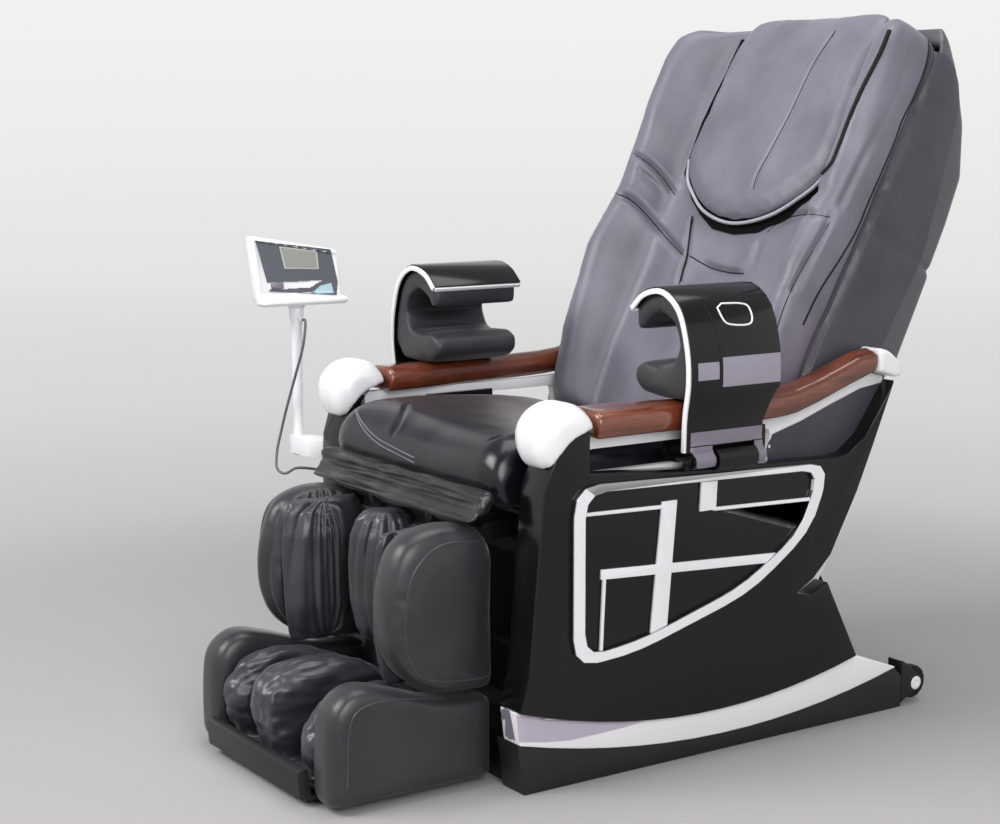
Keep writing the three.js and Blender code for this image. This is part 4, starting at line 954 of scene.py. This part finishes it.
# These nearly black cords are painted shade in the seams and at the bottoms of the tucks; the thickest, along
# the pillow's near edge, paints the shadow in the gap there.
for name, points, radius, body in [
    ("back_seam_upright", UPRIGHT, 0.0018, "backrest"),
    ("back_seam_panel", [*PANEL, (778, 325), (768, 365)], 0.0009, "backrest"),
    ("back_tuck_upper", TUCK_UPPER, 0.0009, "backrest"),
    ("back_tuck_lower", TUCK_LOWER, 0.0013, "backrest"),
    ("back_tuck_cross", [(690, 256), *TUCK_CROSS], 0.0014, "backrest"),
    ("back_tuck_near", TUCK_NEAR, 0.0009, "backrest"),
    ("pillow_gap_shadow_cord", PILLOW_GAP, 0.0042, "pillow"),
    ("back_seam_gusset", GUSSET_SEAM, 0.0020, "backrest"),
]:
    seam = landed(on_pad, points, lift=-0.0002)
    piped(name, seam, radius, shade_cord, body, "back_leather")
print("back pad faces", len(back_cover.data.polygons))

# %% [markdown]
# Behind the pad the back is closed by a moulded shell. It is blow-moulded, so its corners are
# generous.

# %% Back shell
shell = softened("back_shell", "back_shell_cover", 0.005, 6)
dress(shell, shell_grey, "backrest", "black_satin", "back_shell")
print("back shell faces", len(shell.data.polygons))

# %% [markdown]
# A gusset closes each side of the back, from the roll of the pad to the shell. It is the back's leather drawn
# darker, as painted shade for a side turned from the light. It is a loose sheet, so it is laid on both from
# the side and given long soft folds.

# %% Back gussets
gusset_shape = [
    (0.13, -0.118), (0.13, 0.030), (0.30, 0.034), (0.463, 0.034), (0.50, 0.030), (0.60, 0.012),
    (0.742, -0.018), (0.770, -0.034), (0.790, -0.060), (0.800, -0.085), (0.800, -0.118)]
for side, sign in SIDES:
    gusset = cover(
        "back_gusset_" + side, gusset_shape, 0.010, from_side(skin_of(back_cover, shell), sign, True),
        0.0016, 0.0008, side_shade_hide, "backrest", "back_leather")
    wrinkled(gusset, 0.09, 0.0012, np.array([0.6, 1.0, 0.6]), 4.0)
    print("gusset", side, "faces", len(gusset.data.polygons))

# %% [markdown]
# The head pillow is a thin shield-shaped pad that hangs on the back from its upper edge, and
# its top rolls back over the top of the chair. Behind it lies a black sheet a little wider
# than itself, which paints the shadow round its edge. Its lower edge has a pale piping, and a
# curved seam runs down its near side, with a nearly black cord of painted shade in it.

# %% Head pillow
pillow = softened("head_pillow", "head_pillow_cover", 0.0055, 10)
puffed(pillow, 2.5, 0.006)
refined(pillow)
spots, height = places(pillow), up_the_back(pillow)
ROLL_UP, ROLL_DOME, ROLL_BACK = 0.034, 0.014, 0.020  # its top rises, more in the middle, and leans
roll = rise(height, 0.74, 0.11) ** 2
dome = ROLL_UP + ROLL_DOME * (1 - rise(np.abs(spots[:, 0]), 0, 0.2) ** 2)
move_to(pillow, spots + roll[:, None] * (dome[:, None] * np.array(UP_BACK) + ROLL_BACK * np.array(OUT_REAR)))
on_pillow = by_sight(skin_of(pillow))
face = facing_sitter(pillow, 0.2, 0.4)
NEAR_SEAM = [(835.5, 30.6), (814.4, 63), (789.6, 114.8), (770.4, 151), (757, 176), (753.2, 189.4)]
creased(pillow, fold(on_pillow, NEAR_SEAM, 0.005, 0.0055, 0.03, 0.2), face)
wrinkled(pillow, 0.11, 0.0022, np.array([1.0, 0.7, 0.7]), 8.0, face)
dress(pillow, back_hide, "pillow", "back_leather", "head_pillow")
seam = landed(by_sight(skin_of(pillow)), NEAR_SEAM, lift=-0.0001)
piped("pillow_seam_near", seam, 0.0008, shade_cord, "pillow", "back_leather")
print("pillow faces", len(pillow.data.polygons))
half = [(0.060, 0.428), (0.105, 0.452), (0.150, 0.484), (0.200, 0.535), (0.207, 0.640), (0.195, 0.820)]
shadow_outline = [(0, 0.420), *half, *[(-x, s) for x, s in half[::-1]]]
# The black sheet behind the pillow is painted shadow round the pillow's edge.
cover(
    "pillow_shadow_sheet", shadow_outline, 0.014, from_front(skin_of(back_cover)), 0.0015, 0.0015, pillow_shadow_black,
    "pillow", "back_leather")
shield = [
    (-0.192, 0.56), (-0.175, 0.522), (-0.148, 0.496), (-0.09, 0.4575), (0, 0.4375),
    (0.09, 0.4575), (0.148, 0.496), (0.175, 0.522), (0.192, 0.56)]
welt = [on_back(p.x, -0.136, p.y) for p in through([(x, s, 0) for x, s in shield], 5)]
piped("pillow_piping", welt, 0.0034, piping_pale, "pillow", "back_leather")

# %% [markdown]
# The seat is a crowned cushion in glossy black, flat where it lies on its steel pan. The
# cover is one piece over the front roll, and a double line of thread rounds its far corner.

# %% Seat cushion
seat = softened("seat_cushion", "seat_cover", 0.006, 8)
puffed(seat, 1.0, 0.004)
refined(seat)
on_seat = by_sight(skin_of(seat))
lines = fold(on_seat, [(407.8, 403), (400, 420), (391, 438)], 0.004, 0.006)
lines += fold(on_seat, [(504, 434.7), (495, 438), (487, 441)], 0.003, 0.005)
creased(seat, lines)
dress(seat, seat_hide, "base", "seat_leather", "seat_cushion")
on_seat = by_sight(skin_of(seat))
ROLL_SEAM = [(353, 395), (359.7, 418), (374.6, 436), (397.9, 449.6), (414.5, 457.9)]
for name, drop in (("seat_piping_upper", 0), ("seat_piping_lower", 5)):
    line = landed(on_seat, [(u, v + drop) for u, v in ROLL_SEAM])
    piped(name, line, 0.0011, thread, "base", "seat_leather")
print("seat faces", len(seat.data.polygons))

# %% [markdown]
# A pleated apron hides the hinge of the legrest. It crumples as the legrest comes up. Its
# folds slant down to the near side.

# %% Apron
apron = softened("seat_apron", "apron_cover", 0.0035, 3)
refined(apron)
on_apron = by_sight(skin_of(apron))
lines = []
for points in [
    [(330, 460), (421, 484), (521, 513)], [(335, 470), (421, 492), (505, 517)],
    [(328, 478), (400, 497), (470, 517)], [(380, 466), (450, 482), (530, 500)],
]:
    lines += fold(on_apron, points, 0.007, 0.005, 0.15, 0.5)
creased(apron, lines)
wrinkled(apron, 0.05, 0.008, np.array([0.22, 1.0, 1.0]), 6.0)
dress(apron, apron_hide, "base", "leg_leather", "seat_apron")
print("apron faces", len(apron.data.polygons))
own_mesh(apron)

# %% [markdown]
# The legrest has two padded walls, an air bag inside each and a pleated lobe between the
# calves. Below, two walls hold the lobes round the feet. A piping runs along each wall's rim.
# The bags are gathered on elastic, so upright pleats run round them. The photograph shows the
# far calf wall gathered too, and the near one smooth.

# %% Legrest


def pleated(piece, folds, depth, seed):
    """Upright pleats that follow each other round a piece, wavering a little as they go."""
    spots, out = places(piece), normals(piece)
    middle = (spots.min(0) + spots.max(0)) / 2
    turn = np.arctan2(spots[:, 1] - middle[1], spots[:, 0] - middle[0]) / math.tau
    sway = np.array([noise.noise(Vector(p * (9, 9, 5)) + Vector((seed, 0, 0))) for p in spots])
    strength = np.array([noise.noise(Vector(p * (14, 14, 6)) + Vector((0, seed, 0))) for p in spots])
    wave = np.abs(np.sin(np.pi * (folds * turn + 0.9 * sway)))
    upright = np.clip((0.85 - np.abs(out[:, 2])) / 0.4, 0, 1)
    move_to(piece, spots + out * ((wave - 0.6) * depth * (0.8 + strength) * upright)[:, None])
    return piece


calf_rim = [
    (-0.420, 0.392), (-0.515, 0.396), (-0.556, 0.368), (-0.572, 0.325), (-0.572, 0.240),
    (-0.548, 0.196), (-0.490, 0.180), (-0.420, 0.176)]
foot_rim = [
    (-0.681, 0.044), (-0.677, 0.130), (-0.666, 0.158), (-0.640, 0.169), (-0.587, 0.167), (-0.498, 0.149)]
for side, sign in SIDES:
    wall = softened("calf_shell_" + side, "calf_wall_" + side, 0.0045, 14)
    puffed(wall, 2.0, 0.004)
    if side == "R":
        refined(wall)
        pleated(wall, 15, 0.006, 7.0)
    dress(wall, shell_hide, "legrest", "leg_leather", "calf_shell_" + side)
    line = landed(from_side(skin_of(wall), sign), calf_rim, lift=0.0002)
    piped("calf_piping_" + side, line, 0.0016, piping_leg, "legrest", "leg_leather")
    bag = softened("calf_bag_" + side, "calf_air_bag_" + side, 0.004, 3)
    refined(bag)
    pleated(bag, 13, 0.008, 5.0)
    wrinkled(bag, 0.06, 0.0015, np.array([1.0, 1.0, 0.4]), 5.0)
    dress(bag, leg_hide, "legrest", "leg_leather", "calf_bag_" + side)
    foot_wall = softened("foot_shell_" + side, "foot_wall_" + side, 0.0045, 12)
    dress(foot_wall, shell_hide, "footrest", "leg_leather", "foot_shell_" + side)
    line = landed(from_side(skin_of(foot_wall), sign), foot_rim, lift=0.0002)
    piped("foot_piping_" + side, line, 0.0016, piping_leg, "footrest", "leg_leather")
middle = softened("calf_centre", "calf_middle_lobe", 0.004, 3)
refined(middle)
pleated(middle, 11, 0.009, 2.0)
dress(middle, leg_hide, "legrest", "leg_leather", "calf_centre")
feet = softened("foot_liner", "foot_lobes", 0.004, 8)
refined(feet)
wrinkled(feet, 0.045, 0.008, np.array([0.9, 0.30, 0.8]), 9.0)
dress(feet, leg_hide, "footrest", "leg_leather", "foot_liner")
print("foot lobe faces", len(feet.data.polygons))

# %% [markdown]
# Each cuff is a bent black shell over a padded lining, on a grey fork. A white rim closes its
# front edge, a white lip ends its top, and a grey band and an empty white frame lie outside.
# They are laid on the shell from the side or swept along its section, and so follow its bend.

# %% Cuffs
BEND = through([(x, 0, z) for x, z in [
    (-0.146, 0.741), (-0.114, 0.766), (-0.066, 0.774), (-0.024, 0.748), (-0.001, 0.692),
    (0.005, 0.634), (-0.003, 0.578), (-0.005, 0.524)]], 6)
CUFF_X, REACH = 0.376, 0.091  # where the bend is drawn from, and half a cuff's length
LIP, LIP_DEEP, LIP_PROUD = 0.004, 0.0070, 0.0006


def rim(name, sign, middle_y, low, high, start, end, material, body, slot):
    """A strip along the cuff's bend: low to high off the shell's face, start to end in y."""
    spots = []
    for i, p in enumerate(BEND):
        way = (BEND[min(i + 1, len(BEND) - 1)] - BEND[max(i - 1, 0)]).normalized()
        out = Vector((-way.z, 0, way.x))
        for off, y in ((low, start), (high, start), (high, end), (low, end)):
            q = p + out * off
            spots.append((sign * (CUFF_X + q.x), middle_y + y, q.z))
    faces = [
        (4 * i + a, 4 * i + (a + 1) % 4, 4 * i + 4 + (a + 1) % 4, 4 * i + 4 + a)
        for i in range(len(BEND) - 1) for a in range(4)]
    faces += [(3, 2, 1, 0), tuple(len(spots) - 4 + a for a in range(4))]
    return dress(solid(name, spots, faces, 0.0010), material, body, slot)


for side, sign, middle_y, body in (("L", 1, -0.060, "cuff_left"), ("R", -1, -0.141, "cuff_right")):
    cuff = edged(
        "cuff_shell_" + side, "cuff_cover_" + side, 0.0018, piano_black, body, "black_gloss", corner=50)
    lining = softened("cuff_pad_" + side, "cuff_lining_" + side, 0.004, 26)
    puffed(lining, 2.0, 0.004)
    dress(lining, cuff_hide, body, "cuff_leather", "cuff_pad_" + side)
    rim("cuff_rim_" + side, sign, middle_y, -0.0080, 0.0008, -REACH - 0.0040, -REACH + 0.0002,
        gloss_white, body, "white_gloss")
    start, way = BEND[0], (BEND[1] - BEND[0]).normalized()
    out = Vector((-way.z, 0, way.x))
    section = [
        start - way * a + out * b
        for a, b in ((LIP, -LIP_DEEP), (LIP, LIP_PROUD), (0, LIP_PROUD), (0, -LIP_DEEP))]
    lip = [(sign * (CUFF_X + q.x), middle_y + y, q.z) for y in (-REACH, REACH) for q in section]
    faces = [(0, 1, 2, 3), (7, 6, 5, 4), *[(a, 4 + a, 4 + (a + 1) % 4, (a + 1) % 4) for a in range(4)]]
    bar = solid("cuff_lip_" + side, lip, faces, 0.0012)
    dress(bar, gloss_white, body, "white_gloss")
    land = from_side(skin_of(cuff), sign)

    def box(y0, y1, z0, z1):
        return [(middle_y + y0, z0), (middle_y + y1, z0), (middle_y + y1, z1), (middle_y + y0, z1)]

    for name, shape, material in [
        ("cuff_band_front_", box(-0.080, -0.038, 0.638, 0.665), band_grey),
        ("cuff_band_rear_", box(-0.030, 0.089, 0.625, 0.671), band_grey),
        ("cuff_fork_bar_", box(-0.086, 0.060, 0.534, 0.556), mid_grey),
        ("cuff_fork_front_", box(-0.086, -0.044, 0.502, 0.533), mid_grey),
        ("cuff_fork_rear_", box(0.044, 0.060, 0.502, 0.533), mid_grey),
    ]:
        cover(name + side, shape, 0.006, land, 0.0004, 0.0012, material, body, "grey_plastic")
    joint = landed(land, [(middle_y - 0.044, 0.750), (middle_y - 0.032, 0.682), (middle_y - 0.035, 0.634)])
    piped("cuff_joint_" + side, joint, 0.0012, rubber, body, "cable_rubber")

STAGGER = 0.081  # how much further forward the right cuff stands
loop = landed(by_sight(skin_of(bpy.data.objects["cuff_cover_L"])), [
    (721, 303.6), (741, 303.6), (747.5, 306), (752, 318), (750, 323.5), (731, 324.5), (725, 322), (717, 308)],
    lift=0.0004)
far_loop = [p - Vector((0, STAGGER, 0)) for p in other_side(loop)]
for name, line, body in (("cuff_window_L", loop, "cuff_left"), ("cuff_window_R", far_loop, "cuff_right")):
    piped(name, line, 0.0016, gloss_white, body, "white_gloss", closed=True)
print("points in a cuff's frame", len(loop))

# %% [markdown]
# The handset is a white case on a short neck, with a dark face plate, a small display and a
# pale lower lens. The display is off, so it is left plain.

# %% Handset
case = edged("handset", "handset_case", 0.0015, gloss_white, "handset_head", "white_gloss")
on_case = by_sight(skin_of(case))
STRETCH = 1.08  # the case came out wider than in the photograph, so its plates are too
GAP = 0.0012  # round the key
for name, lift, material, shape in [
    ("handset_face", 0.0003, face_glass, [
        (264.7, 240), (334.3, 249), (341, 281.4), (340, 294.6), (278, 290.9)]),
    ("handset_lcd_frame", 0.0010, lcd_frame, [
        (286.6, 245.8), (321.6, 250.4), (323.4, 268.6), (291.6, 268.2)]),
    ("handset_lcd", 0.0016, lcd, [(288, 247.2), (320, 251.7), (321.9, 267.3), (292.9, 266.8)]),
    ("handset_lens", 0.0010, pale_blue, [
        (317.7, 291.8), (325, 285), (334.7, 282.4), (337.4, 292.5), (321.5, 293)]),
]:
    wider = [(248.5 + (u - 258.5) * STRETCH, v + 0.6) for u, v in shape]
    plate = cover(name, wider, 1.5, on_case, lift, 0.0006, material, "handset_head", "grey_plastic")
    if name == "handset_face":
        key_low, key_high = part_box("handset_key")
        clear = [
            not (key_low.x - GAP < f.center.x < key_high.x + GAP and
                 key_low.z - GAP < f.center.z < key_high.z + GAP)
            for f in plate.data.polygons]
        keep_faces(plate, clear)
    print(name, "faces", len(plate.data.polygons))

# %% [markdown]
# The studio is a round paper floor that fades into a pale wall. Near the chair the floor is
# lit, so that it holds the shadow. Further out the camera sees painted light: the floor and the
# wall glow in graded pale tones matched to the backdrop's, darker near the chair and paler
# further out and higher up. Wide soft lamps stand at the front left, at the right and overhead.

# %% Studio


def soft_lamp(name, spot, aim, size, power):
    data = bpy.data.lights.new(name, "AREA")
    data.shape = "RECTANGLE"
    data.size, data.size_y = size
    data.energy = power
    lamp = bpy.data.objects.new(name, data)
    lamp.location = spot
    lamp.rotation_euler = (Vector(aim) - Vector(spot)).to_track_quat("-Z", "Y").to_euler()
    bpy.context.scene.collection.objects.link(lamp)
    return lamp


def toned(tree, value, stops):
    """A ramp of glowing tones over a value between 0 and 1, for the painted light of floor and wall."""
    ramp = add(tree, "ShaderNodeValToRGB", {"Fac": value})
    while len(ramp.color_ramp.elements) < len(stops):
        ramp.color_ramp.elements.new(0.5)
    for stop, (at, code) in zip(ramp.color_ramp.elements, stops):
        stop.position = at
        stop.color = linear(code)
    return ramp


def seen_rays(tree):
    """1 for camera, glossy and transmitted rays, 0 for the rest."""
    rays = add(tree, "ShaderNodeLightPath")
    both = add(tree, "ShaderNodeMath", {
        0: rays.outputs["Is Camera Ray"], 1: rays.outputs["Is Glossy Ray"]}, operation="MAXIMUM")
    return add(tree, "ShaderNodeMath", {
        0: both.outputs[0], 1: rays.outputs["Is Transmission Ray"]}, operation="MAXIMUM").outputs[0]


ROOM = 9.0  # radius, in metres
ARC = 96  # points round the room
TOP = 6.0  # metres up the wall
turns = [math.tau * i / ARC for i in range(ARC)]
around = [(ROOM * math.cos(a), ROOM * math.sin(a)) for a in turns]
floor_mesh = bpy.data.meshes.new("studio_floor")
floor_mesh.from_pydata([(x, y, 0) for x, y in around], [], [tuple(range(ARC))])
floor = new_piece("studio_floor", floor_mesh)
paper, tree, shader, where = new_finish("studio_paper", 0.75, specular=0.2)
shader.inputs["Base Color"].default_value = linear("#A9A7A6")
radius = add(tree, "ShaderNodeVectorMath", {0: where}, operation="LENGTH").outputs["Value"]
share = add(tree, "ShaderNodeMath", {0: radius, 1: ROOM}, operation="DIVIDE").outputs[0]
# Painted light: further out the floor glows in these tones, darker near the chair and paler towards the wall.
tones = toned(tree, share, [
    (0.0, "#C0BEBD"), (0.13, "#C0BEBD"), (0.22, "#C8C7C6"), (0.41, "#D6D6D6"), (0.78, "#DEDEDE"),
    (1.0, "#E3E3E3")])
glow = add(tree, "ShaderNodeEmission", {"Color": tones.outputs["Color"]})
LIT, UNLIT = 0.9, 2.2  # metres out, between which the lit floor gives way to its glow
far = add(tree, "ShaderNodeMapRange", {
    "Value": radius, "From Min": LIT, "From Max": UNLIT}, interpolation_type="SMOOTHSTEP")
amount = add(tree, "ShaderNodeMath", {0: far.outputs["Result"], 1: seen_rays(tree)}, operation="MULTIPLY")
mixed = add(tree, "ShaderNodeMixShader", {0: amount.outputs[0], 1: shader.outputs[0], 2: glow.outputs[0]})
end = next(n for n in tree.nodes if n.bl_idname == "ShaderNodeOutputMaterial")
tree.links.new(mixed.outputs[0], end.inputs["Surface"])
floor.data.materials.append(paper)

wall_mesh = bpy.data.meshes.new("studio_wall")
wall_mesh.from_pydata(
    [(x, y, z) for z in (0, TOP) for x, y in around], [],
    [((i + 1) % ARC, i, ARC + i, ARC + (i + 1) % ARC) for i in range(ARC)])
wall = new_piece("studio_wall", wall_mesh)
backdrop = bpy.data.materials.new("studio_backdrop")
backdrop.use_nodes = True
tree = backdrop.node_tree
tree.nodes.clear()
where = add(tree, "ShaderNodeTexCoord").outputs["Object"]
height = add(tree, "ShaderNodeSeparateXYZ", {"Vector": where}).outputs["Z"]
share = add(tree, "ShaderNodeMath", {0: height, 1: TOP}, operation="DIVIDE").outputs[0]
# Painted light: the wall glows paler as it rises.
tones = toned(tree, share, [(0.0, "#E3E3E3"), (0.15, "#ECECEB"), (0.30, "#F2F2F2"), (1.0, "#F2F2F2")])
glow = add(tree, "ShaderNodeEmission", {"Color": tones.outputs["Color"]})
clear = add(tree, "ShaderNodeBsdfTransparent")
mixed = add(tree, "ShaderNodeMixShader", {0: seen_rays(tree), 1: clear.outputs[0], 2: glow.outputs[0]})
add(tree, "ShaderNodeOutputMaterial", {"Surface": mixed.outputs[0]})
wall.data.materials.append(backdrop)

world = bpy.data.worlds.new("studio_world")
bpy.context.scene.world = world
world.use_nodes = True
tree = world.node_tree
tree.nodes.clear()
room = add(tree, "ShaderNodeBackground", {"Color": linear("#E8E8EA"), "Strength": 0.52})
add(tree, "ShaderNodeOutputWorld", {"Surface": room.outputs[0]})

soft_lamp("key_lamp", (-0.6, -3.4, 3.2), (0, 0, 0.6), (2.4, 1.8), 135)
soft_lamp("side_lamp", (3.2, -1.4, 1.9), (0, 0, 0.5), (1.8, 2.2), 72)
soft_lamp("top_lamp", (0.2, 0.2, 3.6), (0, 0, 0.5), (2.2, 2.2), 50)

bpy.context.scene.view_settings.view_transform = "Standard"
print("lamps", len(bpy.data.lights))
